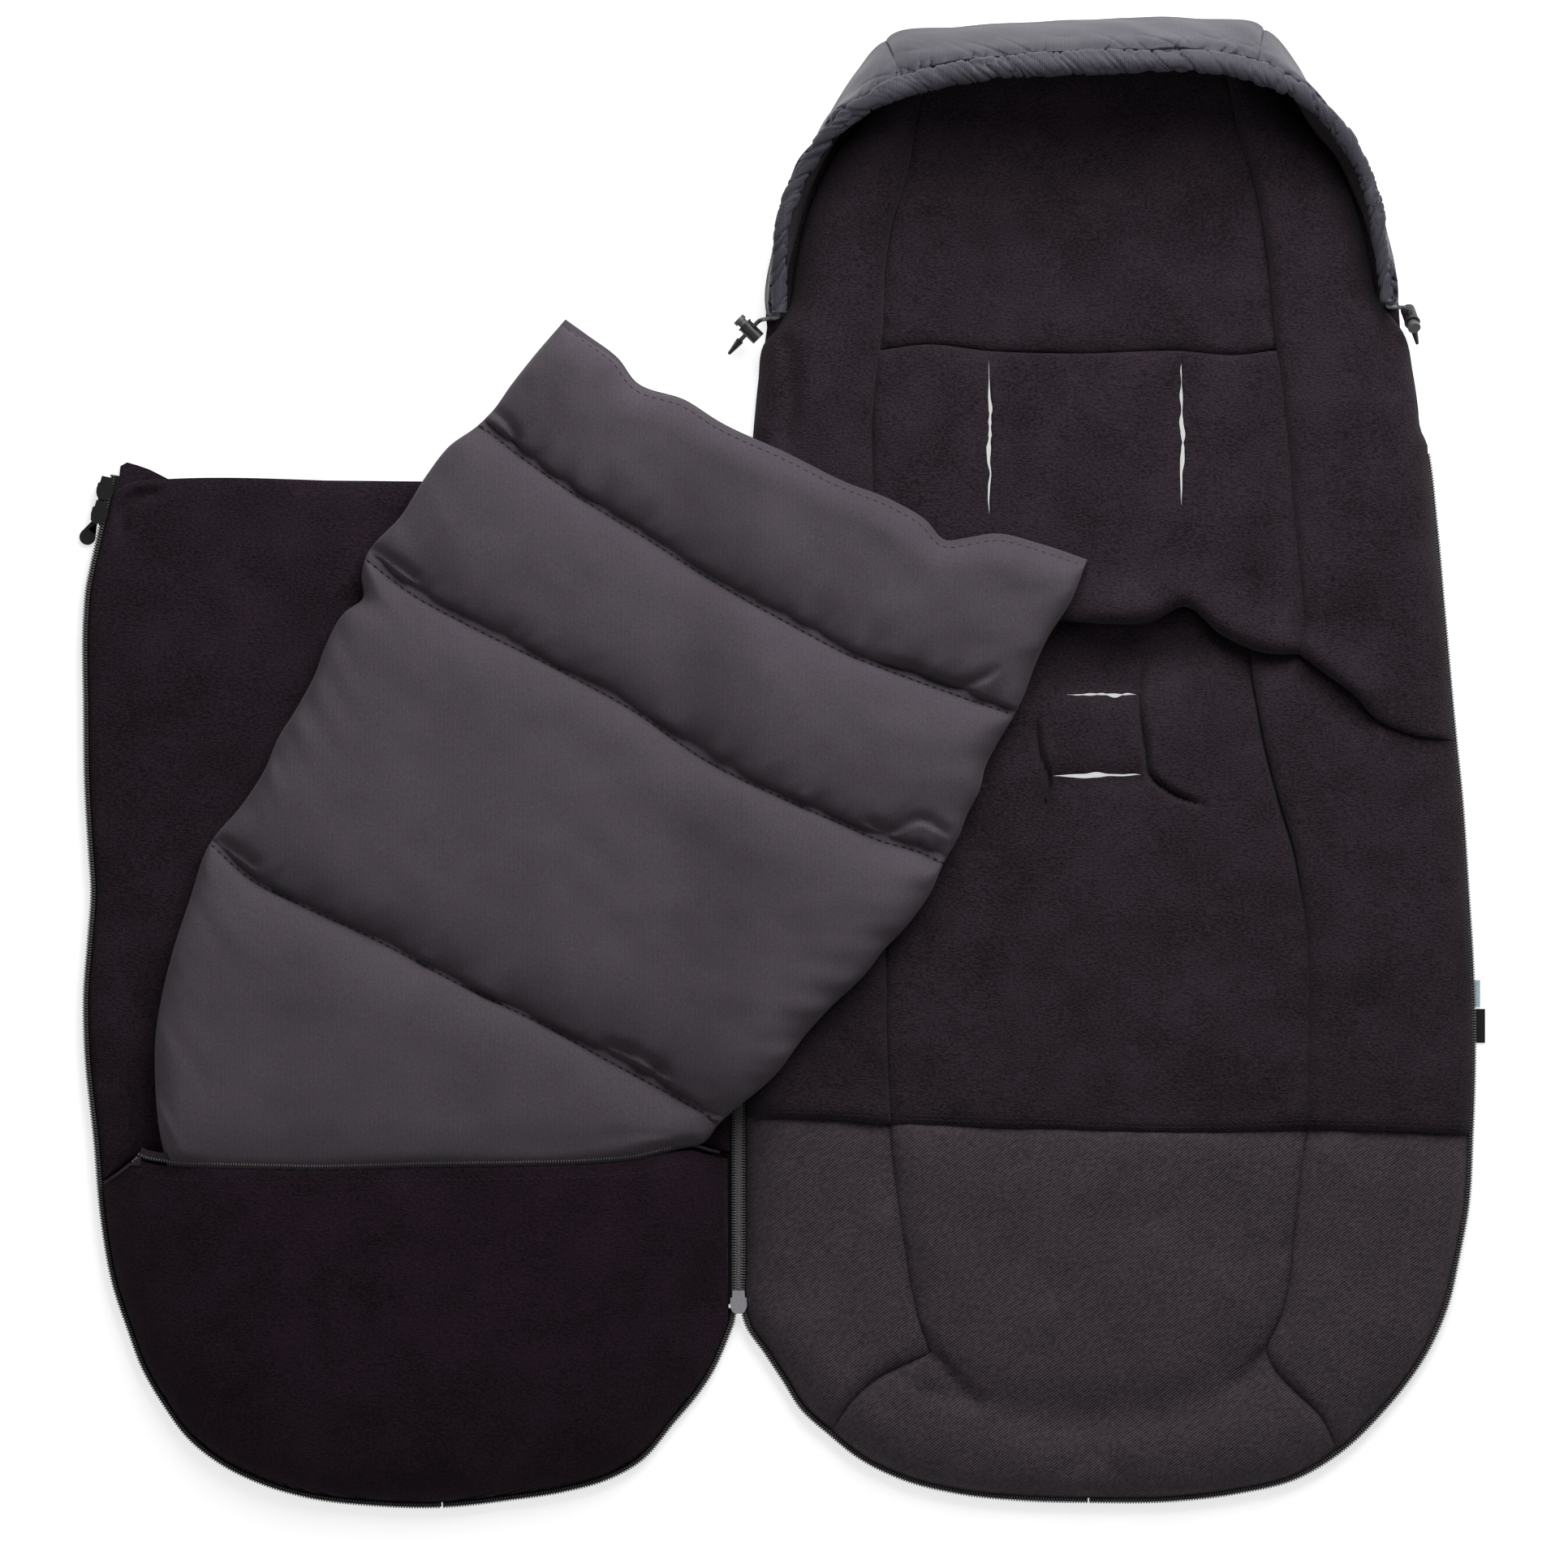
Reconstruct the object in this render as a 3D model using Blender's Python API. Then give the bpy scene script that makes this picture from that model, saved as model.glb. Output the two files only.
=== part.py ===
"""Stroller footmuff laid open: padded liner with a hood, zipped cover turned over beside it, quilted insert on top.

Metres, +Z up, +Y towards the hood, +X towards the liner's free side. The origin is on the liner's
underside where seat and back meet. Plan outlines are read from a photograph taken straight down,
so they are lists of picture coordinates, and PIXEL turns them into metres.
"""
import math

import bmesh
import bpy
import numpy as np
from mathutils import Matrix, Vector

for old in list(bpy.data.objects):
    bpy.data.objects.remove(old, do_unlink=True)

# Plan scale
LINER_LENGTH = 0.917
HOOD_CREST_PX = 21
TOE_END_PX = 1855
PIXEL = LINER_LENGTH / (TOE_END_PX - HOOD_CREST_PX)
ORIGIN_PX = (1340, 830)

# Fabric layers
SHELL_THICKNESS = 0.0020
LAYER_GAP = 0.0003
SEAM_GAP = 0.0006
PAD_EDGE_HEIGHT = 0.0030
PAD_ROUNDING = 0.026
SHELL_INSET = 0.0036
HEM_INSET = 0.0018
PAD_INSET = 0.0070

# How evenly rows are spread over a patch, and how finely a curve's direction is read
EASE_SHARE = 0.65
TURN_STEP_SHARE = 0.002

# Crowns of the liner's pads, above their undersides
HEAD_CROWN = 0.012
HEAD_SIDE_CROWN = 0.013
BACK_CROWN = 0.021
BACK_SIDE_CROWN = 0.023
SEAT_CROWN = 0.018
SEAT_SIDE_CROWN = 0.022
FOOT_CROWN = 0.016
FOOT_SIDE_CROWN = 0.015
TOE_CROWN = 0.018
WAIST_ROUNDING = 0.009
SEAT_SLOPE = 0.055
SIDE_INSET_SHARE = 0.42

# Harness slots
SLOT_WIDTH = 0.0060
SLOT_CUT_OVERRUN = 0.010
SHOULDER_SLOTS_PX = [((1219, 441), (1219, 633)), ((1456, 441), (1456, 633))]
CROTCH_SLOTS_PX = [((1293, 856), (1401, 856)), ((1297, 955), (1405, 955))]

# Zip chains
CHAIN_WIDTH = 0.0030
CHAIN_HEIGHT = 0.0030
CHAIN_BOTTOM = 0.0042
CHAIN_CHAMFER = 0.0004
TAPE_THICKNESS = 0.0008
TAPE_FLAT = 0.0047
TAPE_REACH = 0.0062
ZIP_LINE_PX = 910
ZIP_HALF_GAP_PX = 2

# Hood
HOOD_CREST_HEIGHT = 0.104
HOOD_END_HEIGHT = 0.034
HOOD_WALL = 0.0085
HOOD_WALL_TOP = 0.0040
HOOD_LINING = 0.0018
HOOD_LINING_GAP = 0.0008
HOOD_SEAT_INSET = 0.0055
HOOD_BULGE_INSET = 0.0030
RIM_RADIUS = 0.0070
RIM_END_RADIUS = 0.0044
RIM_BORE = 0.0022
RIM_SEAT_GAP = 0.0007
CORD_RADIUS = 0.0013
CORD_STRAIGHT_EXIT = 0.0032
HOOD_KNEE_SHARE = 0.62
HOOD_TURN_SHARE = 0.03
RIM_STATIONS = 37

# Cover
COVER_CROWN = 0.0075
COVER_ROUNDING = 0.020
POCKET_CROWN = 0.034
POCKET_SKIN = 0.0022
POCKET_EDGE_HEIGHT = 0.0035
POCKET_MOUTH_HEIGHT = 0.0290
MOUTH_LIP = 0.0036
MOUTH_ROUNDING = 0.050
POCKET_ROUNDING = 0.105
POCKET_CLEARANCE = 0.0022
POCKET_CORNER_SHARES = (0.36, 0.80)
POCKET_COLUMNS = 18
POCKET_ZIP_WIDTH = 0.0030
POCKET_ZIP_HEIGHT = 0.0017
POCKET_ZIP_END_SHARE = 0.006

# Quilted insert
INSERT_OVER_COVER = 0.0128
INSERT_OVER_LINER = 0.0272
INSERT_IN_POCKET = 0.0026
INSERT_CROWN = 0.0250
INSERT_SEAM_THICKNESS = 0.0070
INSERT_EDGE_THICKNESS = 0.0050
INSERT_HEM_THICKNESS = 0.0035
INSERT_ROUNDING = 0.034
INSERT_CLIMB_START = 0.045
INSERT_CLIMB_END = 0.022
INSERT_SINK_LENGTH = 0.050
INSERT_PINCH_LENGTH = 0.018

# Zip slider
SLIDER_LENGTH = 0.0143
SLIDER_WIDTH = 0.0104
SLIDER_PLATE = 0.0010
SLIDER_CLEARANCE = 0.0003
SLIDER_FLANGE = 0.0007
SLIDER_FLANGE_DEPTH = 0.0016
SLIDER_FLANGE_LENGTH = 0.0052
SLIDER_OUTLINE_SHARES = [(0.42, 0.0), (0.72, 0.08), (0.93, 0.24), (1.0, 0.42), (0.92, 0.60), (0.74, 0.74),
                         (0.70, 1.0)]
DIAMOND_WIDTH = 0.0012
DIAMOND_LENGTH = 0.0056
DIAMOND_WIDEST_SHARE = 0.6
BRIDGE_LENGTH = 0.0074
BRIDGE_WIDTH = 0.0018
BRIDGE_STRAP = 0.0008
BRIDGE_OPENING = 0.0017
PULL_THICKNESS = 0.0010
PULL_BAR = 0.0010
PULL_ARM = 0.0010
PULL_NECK = 0.0038
PULL_YAW = math.radians(13)
PULL_WINDOW_WIDTH = 0.0046
PULL_WINDOW_LENGTH = 0.0072
PULL_LENGTH = 0.0240
PULL_END_RADIUS = 0.0050
SHORT_PULL_LENGTH = 0.0118
SHORT_PULL_END_RADIUS = 0.0031
PULL_DISH_DEPTH = 0.0003
PULL_DISH_SHARE = 0.55
PULL_END_TURN_SHARE = 0.08
PULL_END_STEPS = 12
SLIDER_UPPER_PX = (131, 602)
SLIDER_SPACING = 0.0152
SIDE_SLIDER_PX = 1604

# Cord locks
LOCK_RADIUS = 0.0045
LOCK_TOP = 0.0050
LOCK_LENGTH = 0.0125
LOCK_FLOOR = 0.0012
PLUNGER_RADIUS = 0.0030
PLUNGER_CLEARANCE = 0.0002
PLUNGER_FOOT = 0.0028
BUTTON_RADIUS = 0.0040
BUTTON_HEIGHT = 0.0024
BUTTON_STANDOFF = 0.0026
LOCK_COLLAR = 0.0010
LOCK_COLLAR_RADIUS = 0.0050
LOCK_CORD_CLEARANCE = 0.0004
LOCK_CORD_SHARE = 0.5
BUTTON_TRAVEL = 0.0020
SPRING_WIRE = 0.00025
SPRING_TURNS = 3
CORD_END_LENGTH = 0.0120
CORD_END_RADIUS = 0.0024
CORD_END_TIP_RADIUS = 0.0010
LOCK_SEGMENTS = 24
SPRING_TURN_STEPS = 9
LEFT_BARREL_WAY = (-0.69, 0.72, 0.0)
RIGHT_BARREL_WAY = (0.0, 0.0, 1.0)

# Ribbon tags on the liner's right edge
TAG_THICKNESS = 0.0008
TAG_REACH = 0.0088
TAG_BLACK_LENGTH = 0.0210
TAG_BLUE_LENGTH = 0.0165
TAG_BLUE_REACH = 0.0062
TAG_BLACK_PX = 1264
TAG_BLUE_PX = 1224

# The liner's outline with its zip chains: down the left side, round the toe and up the right side
LINER_OUTLINE_PX = [
    (938, 402), (932, 447), (925, 510), (917, 565), (912, 600), (912, 640), (912, 860), (912, 1377),
    (912, 1560), (912, 1614), (917, 1632), (941, 1668), (964, 1703), (985, 1736), (1020, 1768),
    (1058, 1798), (1114, 1825), (1178, 1841), (1263, 1850), (1341, 1852), (1440, 1851), (1526, 1841),
    (1598, 1823), (1652, 1791), (1709, 1736), (1736, 1703), (1762, 1663), (1785, 1610), (1800, 1545),
    (1810, 1492), (1816, 1397), (1819, 1295), (1817, 1196), (1811, 1097), (1803, 979), (1796, 911),
    (1782, 757), (1772, 645), (1762, 559), (1751, 510), (1741, 447), (1732, 402),
]
LINER_MARKS = {"start": 0, "zip_top_left": 4, "waist_left": 6, "hem_left": 7, "toe_left": 14, "notch": 19,
               "toe_right": 23, "hem_right": 30, "waist_right": 35, "zip_top_right": 38, "end": 41}

LEFT_SEAM_PX = [
    (1136, 118), (1114, 227), (1097, 283), (1090, 330), (1087, 402), (1084, 433), (1077, 510),
    (1076, 599), (1080, 775), (1084, 1000), (1091, 1190), (1097, 1384), (1104, 1466), (1114, 1532),
    (1130, 1620), (1147, 1667),
]
RIGHT_SEAM_PX = [
    (1514, 112), (1530, 178), (1548, 237), (1558, 290), (1570, 402), (1573, 433), (1584, 526),
    (1594, 640), (1601, 806), (1582, 870), (1577, 946), (1594, 1051), (1607, 1117), (1612, 1176),
    (1611, 1390), (1603, 1440), (1594, 1525), (1581, 1611), (1558, 1663),
]
LEFT_SEAM_MARKS = {"head": 0, "neck": 4, "shoulder": 5, "waist": 8, "hem": 11, "toe": 15}
RIGHT_SEAM_MARKS = {"head": 0, "neck": 4, "shoulder": 5, "waist": 8, "hem": 14, "toe": 18}

HEAD_SIDE_LEFT_PX = [(968, 402), (982, 320), (1000, 250), (1032, 186), (1070, 142)]
HEAD_SIDE_RIGHT_PX = [(1699, 402), (1689, 330), (1668, 250), (1634, 180), (1588, 134)]
SHOULDER_SEAM_PX = [(1084, 433), (1200, 438), (1450, 438), (1573, 433)]
WAIST_PX = [(1080, 775), (1308, 765), (1420, 765), (1505, 776), (1601, 806)]
WAIST_LEFT_PX = [(912, 860), (970, 832), (1025, 798), (1080, 775)]
WAIST_RIGHT_PX = [(1601, 806), (1667, 856), (1729, 892), (1796, 911)]
HEM_LEFT_PX = [(912, 1377), (1000, 1377), (1097, 1384)]
HEM_PX = [(1097, 1384), (1295, 1390), (1453, 1395), (1611, 1390)]
HEM_RIGHT_PX = [(1611, 1390), (1700, 1392), (1816, 1397)]
TOE_LEFT_PX = [(1147, 1667), (1082, 1698), (1042, 1736), (1020, 1768)]
TOE_CREASE_PX = [(1147, 1667), (1250, 1712), (1400, 1718), (1558, 1663)]
TOE_RIGHT_PX = [(1558, 1663), (1598, 1712), (1631, 1752), (1652, 1791)]

HOOD_OUTLINE_PX = [
    (940, 389), (941, 365), (953, 303), (966, 250), (986, 204), (1018, 145), (1055, 86), (1088, 46),
    (1183, 31), (1301, 25), (1473, 21), (1560, 32), (1598, 79), (1634, 142), (1667, 182), (1690, 230),
    (1711, 290), (1724, 350), (1727, 376),
]
HOOD_SEAM_MARKS = (7, 11)
RIM_INNER_PX = [
    (968, 386), (969, 330), (974, 276), (999, 217), (1045, 160), (1091, 132), (1163, 112), (1295, 98),
    (1390, 95), (1532, 103), (1584, 122), (1624, 152), (1663, 204), (1683, 257), (1691, 309), (1699, 374),
]
RIM_HEIGHT_SHARES = [(0.0, 0.0), (0.12, 0.22), (0.30, 0.74), (0.42, 0.97), (0.58, 1.0), (0.70, 0.78),
                     (0.88, 0.22), (1.0, 0.0)]
RIM_RADIUS_SHARES = [(0.0, 0.0), (0.2, 0.25), (0.36, 1.0), (0.64, 1.0), (0.8, 0.25), (1.0, 0.0)]

# The cover's outline with its zip chains: down its free side, round the toe and up to the side zip
COVER_OUTLINE_PX = [
    (136, 584), (122, 646), (114.3, 680), (109, 703.6), (105, 724), (102, 760), (102, 876), (103, 960),
    (108, 1050), (111, 1098),
    (107, 1158), (102, 1225), (103, 1289), (115, 1409), (123, 1500), (138, 1584), (156, 1638),
    (174, 1686), (198, 1728), (234, 1776), (270, 1804), (318, 1828), (378, 1846), (460, 1856),
    (545, 1858), (630, 1849), (695, 1839), (749, 1824), (788, 1803), (833, 1752), (863, 1716),
    (881, 1688), (893, 1662), (905, 1632),
]
COVER_MARKS = {"top": 0, "straight_end": 2, "pocket_left": 13, "notch": 24, "end": 33}
COVER_CORNER_PX = (908, 597)
COVER_TOP_PX = [(150, 598), (207, 593), (500, 595), (908, 597)]
COVER_FLAP_PX = [(147, 588), (150, 571), (175, 575), (207, 590)]
MOUTH_PX = [(116, 1420), (204, 1434), (396, 1443), (540, 1437), (660, 1431), (780, 1425), (908, 1420)]

# The insert: left and right edges from its head to its tail, and the lines quilted across it
INSERT_LEFT_PX = [
    (697, 394), (655, 443), (553, 551), (450, 688), (400, 800), (342, 912), (259, 1038), (234, 1110),
    (201, 1223), (192, 1331), (200, 1420), (222, 1500),
]
INSERT_RIGHT_PX = [
    (1339, 690), (1290, 787), (1248, 880), (1207, 972), (1162, 1062), (1089, 1170), (993, 1274),
    (884, 1379), (833, 1420), (760, 1482), (660, 1545),
]
INSERT_LEFT_MARKS = [0, 2, 3, 6, 11]
INSERT_RIGHT_MARKS = [0, 2, 4, 7, 10]
INSERT_LINES_PX = [
    [(697, 394), (763, 440), (885, 517), (1038, 590), (1165, 655), (1250, 662), (1339, 690)],
    [(553, 551), (642, 556), (719, 596), (878, 698), (1038, 794), (1165, 848), (1248, 880)],
    [(450, 688), (521, 727), (655, 794), (814, 870), (942, 947), (1070, 1017), (1162, 1062)],
    [(259, 1038), (396, 1110), (540, 1182), (660, 1253), (755, 1301), (884, 1379)],
    [(222, 1500), (270, 1575), (351, 1613), (480, 1612), (600, 1582), (660, 1545)],
]

# Where the drawcord leaves the hood's rim, and which way it goes
LEFT_CORD_EXIT_PX = [(936, 395), (912, 420), (906, 427)]
RIGHT_CORD_EXIT_PX = [(1733, 380), (1741, 404), (1743, 412)]
LEFT_CORD_HEIGHTS_SHARE = [0.78, 0.42, 0.34]
RIGHT_CORD_HEIGHTS_SHARE = [0.80, 0.42, 0.34]

FLEECE = ("liner_fleece", (0.027, 0.021, 0.025), 0.95, 0.0)
COVER_FLEECE = ("cover_fleece", (0.013, 0.008, 0.011), 0.95, 0.0)
TWILL = ("grey_twill", (0.048, 0.040, 0.042), 0.85, 0.0)
HOOD_CLOTH = ("hood_cloth", (0.062, 0.066, 0.076), 0.55, 0.0)
QUILT = ("insert_cloth", (0.066, 0.058, 0.062), 0.90, 0.0)
ZIP_BLACK = ("zip_black", (0.010, 0.010, 0.011), 0.45, 0.0)
STEEL = ("slider_silver", (0.55, 0.53, 0.56), 0.35, 0.9)
BLACK_METAL = ("slider_black", (0.020, 0.020, 0.021), 0.40, 0.5)
PLASTIC = ("lock_plastic", (0.030, 0.028, 0.030), 0.45, 0.0)
BUTTON_GREY = ("button_plastic", (0.110, 0.105, 0.110), 0.45, 0.0)
SPRING_STEEL = ("spring_steel", (0.60, 0.60, 0.62), 0.30, 1.0)
ELASTIC = ("flecked_elastic", (0.060, 0.060, 0.062), 0.80, 0.0)
RIBBON_BLACK = ("ribbon_black", (0.012, 0.012, 0.013), 0.70, 0.0)
RIBBON_BLUE = ("ribbon_blue", (0.45, 0.56, 0.68), 0.70, 0.0)


def material(finish):
    """The Principled material of one finish, made once."""
    name, colour, roughness, metallic = finish
    if name in bpy.data.materials:
        return bpy.data.materials[name]
    made = bpy.data.materials.new(name)
    made.use_nodes = True
    shader = made.node_tree.nodes["Principled BSDF"]
    shader.inputs["Base Color"].default_value = (*colour, 1.0)
    shader.inputs["Roughness"].default_value = roughness
    shader.inputs["Metallic"].default_value = metallic
    return made


def plan(pixel):
    """A picture coordinate as a plan point in metres."""
    return np.array([(pixel[0] - ORIGIN_PX[0]) * PIXEL, (ORIGIN_PX[1] - pixel[1]) * PIXEL])


def add_object(name, mesh_data, finish, smooth=True):
    """An object with outward faces from a bmesh."""
    bmesh.ops.recalc_face_normals(mesh_data, faces=mesh_data.faces)
    mesh = bpy.data.meshes.new(name)
    mesh_data.to_mesh(mesh)
    mesh_data.free()
    if smooth:
        mesh.shade_smooth()
        mesh.set_sharp_from_angle(angle=math.radians(35))
    mesh.materials.append(material(finish))
    piece = bpy.data.objects.new(name, mesh)
    bpy.context.scene.collection.objects.link(piece)
    return piece


def set_origin(piece, point):
    """Move a piece's origin to a point, for instance on its joint's axis, with the shape left in place."""
    shift = Vector(point)
    piece.data.transform(Matrix.Translation(-shift))
    piece.location = shift


class Curve:
    """A smooth curve through plan points, followed by a share from 0 to 1."""

    def __init__(self, points):
        self.points = np.array(points, float)
        steps = np.linalg.norm(np.diff(self.points, axis=0), axis=1)
        self.marks = np.concatenate([[0.0], np.cumsum(steps)]) / steps.sum()
        self.slopes = np.gradient(self.points, self.marks, axis=0)

    def __call__(self, share):
        share = np.clip(share, 0.0, 1.0)
        i = min(int(np.searchsorted(self.marks, share, side="right")) - 1, len(self.marks) - 2)
        span = self.marks[i + 1] - self.marks[i]
        t = (share - self.marks[i]) / span
        start, end = self.points[i], self.points[i + 1]
        leave, arrive = self.slopes[i] * span, self.slopes[i + 1] * span
        rise = t * t * (3 - 2 * t)
        return start + (end - start) * rise + leave * t * (1 - t) ** 2 - arrive * t * t * (1 - t)

    def part(self, first, last):
        """The stretch between two of its points, by number, as a function of a share."""
        a, b = self.marks[first], self.marks[last]
        return lambda share: self(a + (b - a) * share)


def curve_px(pixels):
    return Curve([plan(pixel) for pixel in pixels])


def inward(curve, share, centre, step=TURN_STEP_SHARE):
    """The unit normal of a curve that points towards a centre, levelled over a step either way."""
    run = curve(min(share + step, 1.0)) - curve(max(share - step, 0.0))
    normal = np.array([-run[1], run[0]]) / np.linalg.norm(run)
    return normal if np.dot(normal, centre - curve(share)) > 0 else -normal


def inset_curve(curve, distance, centre):
    """A curve moved towards a centre by a distance, which may be a function of the share."""
    depth = distance if callable(distance) else lambda share: distance
    return lambda share: curve(share) + inward(curve, share, centre) * depth(share)


def reverse(curve):
    return lambda share: curve(1.0 - share)


def eased(count):
    """Shares from 0 to 1, closer together near both ends."""
    even = np.linspace(0.0, 1.0, count + 1)
    return (1 - EASE_SHARE) * even + EASE_SHARE * (1 - np.cos(math.pi * even)) / 2


def coons(left, right, lower, upper, across, along):
    """Plan points of a patch between four curves: rows from lower to upper, columns from left to right."""
    us, vs = eased(across), eased(along)
    grid = np.zeros((along + 1, across + 1, 2))
    for row, v in enumerate(vs):
        for column, u in enumerate(us):
            edges = (1 - v) * lower(u) + v * upper(u) + (1 - u) * left(v) + u * right(v)
            corners = (1 - v) * ((1 - u) * lower(0) + u * lower(1)) + v * ((1 - u) * upper(0) + u * upper(1))
            grid[row, column] = edges - corners
    return grid


def rim_of(grid):
    """Row and column of each boundary point of a grid, in order round it."""
    rows, columns = grid.shape[0] - 1, grid.shape[1] - 1
    bottom = [(0, c) for c in range(columns)]
    right = [(r, columns) for r in range(rows)]
    top = [(rows, c) for c in range(columns, 0, -1)]
    left = [(r, 0) for r in range(rows, 0, -1)]
    return bottom + right + top + left


def shrink(grid, distance):
    """Draw a grid's boundary in by a distance, each side by the same amount."""
    loop = rim_of(grid)
    points = np.array([grid[at] for at in loop])
    before, after = np.roll(points, 1, axis=0), np.roll(points, -1, axis=0)
    moved = grid.copy()
    for number, place in enumerate(loop):
        sides = []
        for start, end in ((before[number], points[number]), (points[number], after[number])):
            run = end - start
            sides.append(np.array([-run[1], run[0]]) / np.linalg.norm(run))
        middle = sides[0] + sides[1]
        middle /= max(np.dot(middle, sides[0]), 0.5)
        moved[place] = points[number] + middle * distance
    return moved


def rounding(distance, radius):
    """From 0 at an edge to 1 at a radius from it, along a quarter circle."""
    t = np.clip(distance / radius, 0.0, 1.0)
    return math.sqrt(1.0 - (1.0 - t) ** 2)


def crown_heights(grid, edge, crown, radii):
    """Heights over a patch: low at its boundary, full inside. radii are for left, right, lower and upper."""
    rows, columns = grid.shape[:2]
    heights = np.zeros((rows, columns))
    across = np.linalg.norm(np.diff(grid, axis=1), axis=2)
    along = np.linalg.norm(np.diff(grid, axis=0), axis=2)
    for r in range(rows):
        for c in range(columns):
            reach = (across[r, :c].sum(), across[r, c:].sum(), along[:r, c].sum(), along[r:, c].sum())
            share = math.prod(rounding(d, radius) for d, radius in zip(reach, radii))
            heights[r, c] = edge + (crown - edge) * share
    return heights


def grid_solid(name, grid, tops, bottoms, finish, flat_base=True):
    """A closed solid between two height fields over one grid."""
    mesh = bmesh.new()
    rows, columns = grid.shape[:2]
    upper = [[mesh.verts.new((*grid[r, c], tops[r, c])) for c in range(columns)] for r in range(rows)]
    loop = rim_of(grid)
    keep = set(loop) if flat_base else {(r, c) for r in range(rows) for c in range(columns)}
    lower = {place: mesh.verts.new((*grid[place], bottoms[place])) for place in sorted(keep)}
    for r in range(rows - 1):
        for c in range(columns - 1):
            mesh.faces.new((upper[r][c], upper[r][c + 1], upper[r + 1][c + 1], upper[r + 1][c]))
            if not flat_base:
                mesh.faces.new((lower[r, c], lower[r + 1, c], lower[r + 1, c + 1], lower[r, c + 1]))
    if flat_base:
        mesh.faces.new([lower[place] for place in reversed(loop)])
    for place, following in zip(loop, loop[1:] + loop[:1]):
        top, top_next = upper[place[0]][place[1]], upper[following[0]][following[1]]
        mesh.faces.new((top_next, top, lower[place], lower[following]))
    return add_object(name, mesh, finish)


def pad(name, sides, crown, finish, counts, radii=None, edge=PAD_EDGE_HEIGHT, base=None):
    """A sewn pad: four boundary curves (left, right, lower, upper), flat below, crowned above."""
    base = SHELL_THICKNESS + LAYER_GAP if base is None else base
    grid = shrink(coons(*sides, *counts), SEAM_GAP / 2)
    heights = crown_heights(grid, edge, crown, radii or (PAD_ROUNDING,) * 4) + base
    return grid_solid(name, grid, heights, np.full_like(heights, base), finish)


def sheet(name, outline, bottom, top, finish):
    """A flat sheet from a plan outline."""
    mesh = bmesh.new()
    lower = [mesh.verts.new((*point, bottom)) for point in outline]
    upper = [mesh.verts.new((*point, top)) for point in outline]
    mesh.faces.new(upper)
    mesh.faces.new(list(reversed(lower)))
    for i, j in zip(range(len(outline)), [*range(1, len(outline)), 0]):
        mesh.faces.new((lower[i], lower[j], upper[j], upper[i]))
    return add_object(name, mesh, finish, smooth=False)


def sweep(name, sections, finish, bores=None, smooth=True):
    """A solid through closed sections of equal length, with flat ends, and with a bore if given."""
    mesh = bmesh.new()
    rings = [[mesh.verts.new(point) for point in section] for section in sections]
    holes = [[mesh.verts.new(point) for point in section] for section in bores or []]
    count = len(rings[0])
    for loops in (rings, holes):
        for ring, following in zip(loops, loops[1:]):
            for i in range(count):
                j = (i + 1) % count
                mesh.faces.new((ring[i], ring[j], following[j]))
                mesh.faces.new((ring[i], following[j], following[i]))
    for end in (0, -1):
        if holes:
            for i in range(count):
                j = (i + 1) % count
                mesh.faces.new((rings[end][i], rings[end][j], holes[end][j], holes[end][i]))
        else:
            mesh.faces.new(rings[end])
    return add_object(name, mesh, finish, smooth)


def cut(piece, cutter, operation="DIFFERENCE"):
    """Apply a Boolean with a cutter and remove the cutter."""
    modifier = piece.modifiers.new(operation.lower(), "BOOLEAN")
    modifier.operation = operation
    modifier.solver = "EXACT"
    modifier.object = cutter
    bpy.context.view_layer.update()
    evaluated = piece.evaluated_get(bpy.context.evaluated_depsgraph_get())
    mesh = bpy.data.meshes.new_from_object(evaluated)
    piece.modifiers.remove(modifier)
    piece.data = mesh
    bpy.data.objects.remove(cutter, do_unlink=True)
    return piece


def box(name, low, high, finish):
    """A box between two corners."""
    mesh = bmesh.new()
    bmesh.ops.create_cube(mesh, size=1.0)
    size, middle = Vector(high) - Vector(low), (Vector(high) + Vector(low)) / 2
    bmesh.ops.transform(mesh, verts=mesh.verts, matrix=Matrix.Translation(middle) @ Matrix.Diagonal((*size, 1)))
    return add_object(name, mesh, finish, smooth=False)


def cylinder(name, radius, bottom, top, finish, segments=LOCK_SEGMENTS, top_radius=None):
    """A cylinder or cone on Z, centred on the origin in plan."""
    mesh = bmesh.new()
    end_radius = radius if top_radius is None else top_radius
    bmesh.ops.create_cone(mesh, cap_ends=True, segments=segments, radius1=radius, radius2=end_radius,
                          depth=top - bottom)
    bmesh.ops.translate(mesh, verts=mesh.verts, vec=(0, 0, (top + bottom) / 2))
    return add_object(name, mesh, finish)


LINER = curve_px(LINER_OUTLINE_PX)
LEFT_SEAM = curve_px(LEFT_SEAM_PX)
RIGHT_SEAM = curve_px(RIGHT_SEAM_PX)
LINER_MIDDLE = plan((1355, 1100))
COVER = curve_px(COVER_OUTLINE_PX)
COVER_MIDDLE = plan((500, 1250))
PAD_BASE = SHELL_THICKNESS + LAYER_GAP
CHAIN_TOP = CHAIN_BOTTOM + CHAIN_HEIGHT
ZIP_LINE = plan((ZIP_LINE_PX, 0))[0]
FOLD_AXIS_X = ZIP_LINE - CHAIN_WIDTH - TAPE_REACH + TAPE_THICKNESS
SLIDER_TOP = CHAIN_TOP + SLIDER_CLEARANCE + SLIDER_PLATE
FOLD_AXIS_Z = SLIDER_TOP + SLIDER_CLEARANCE


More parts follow.
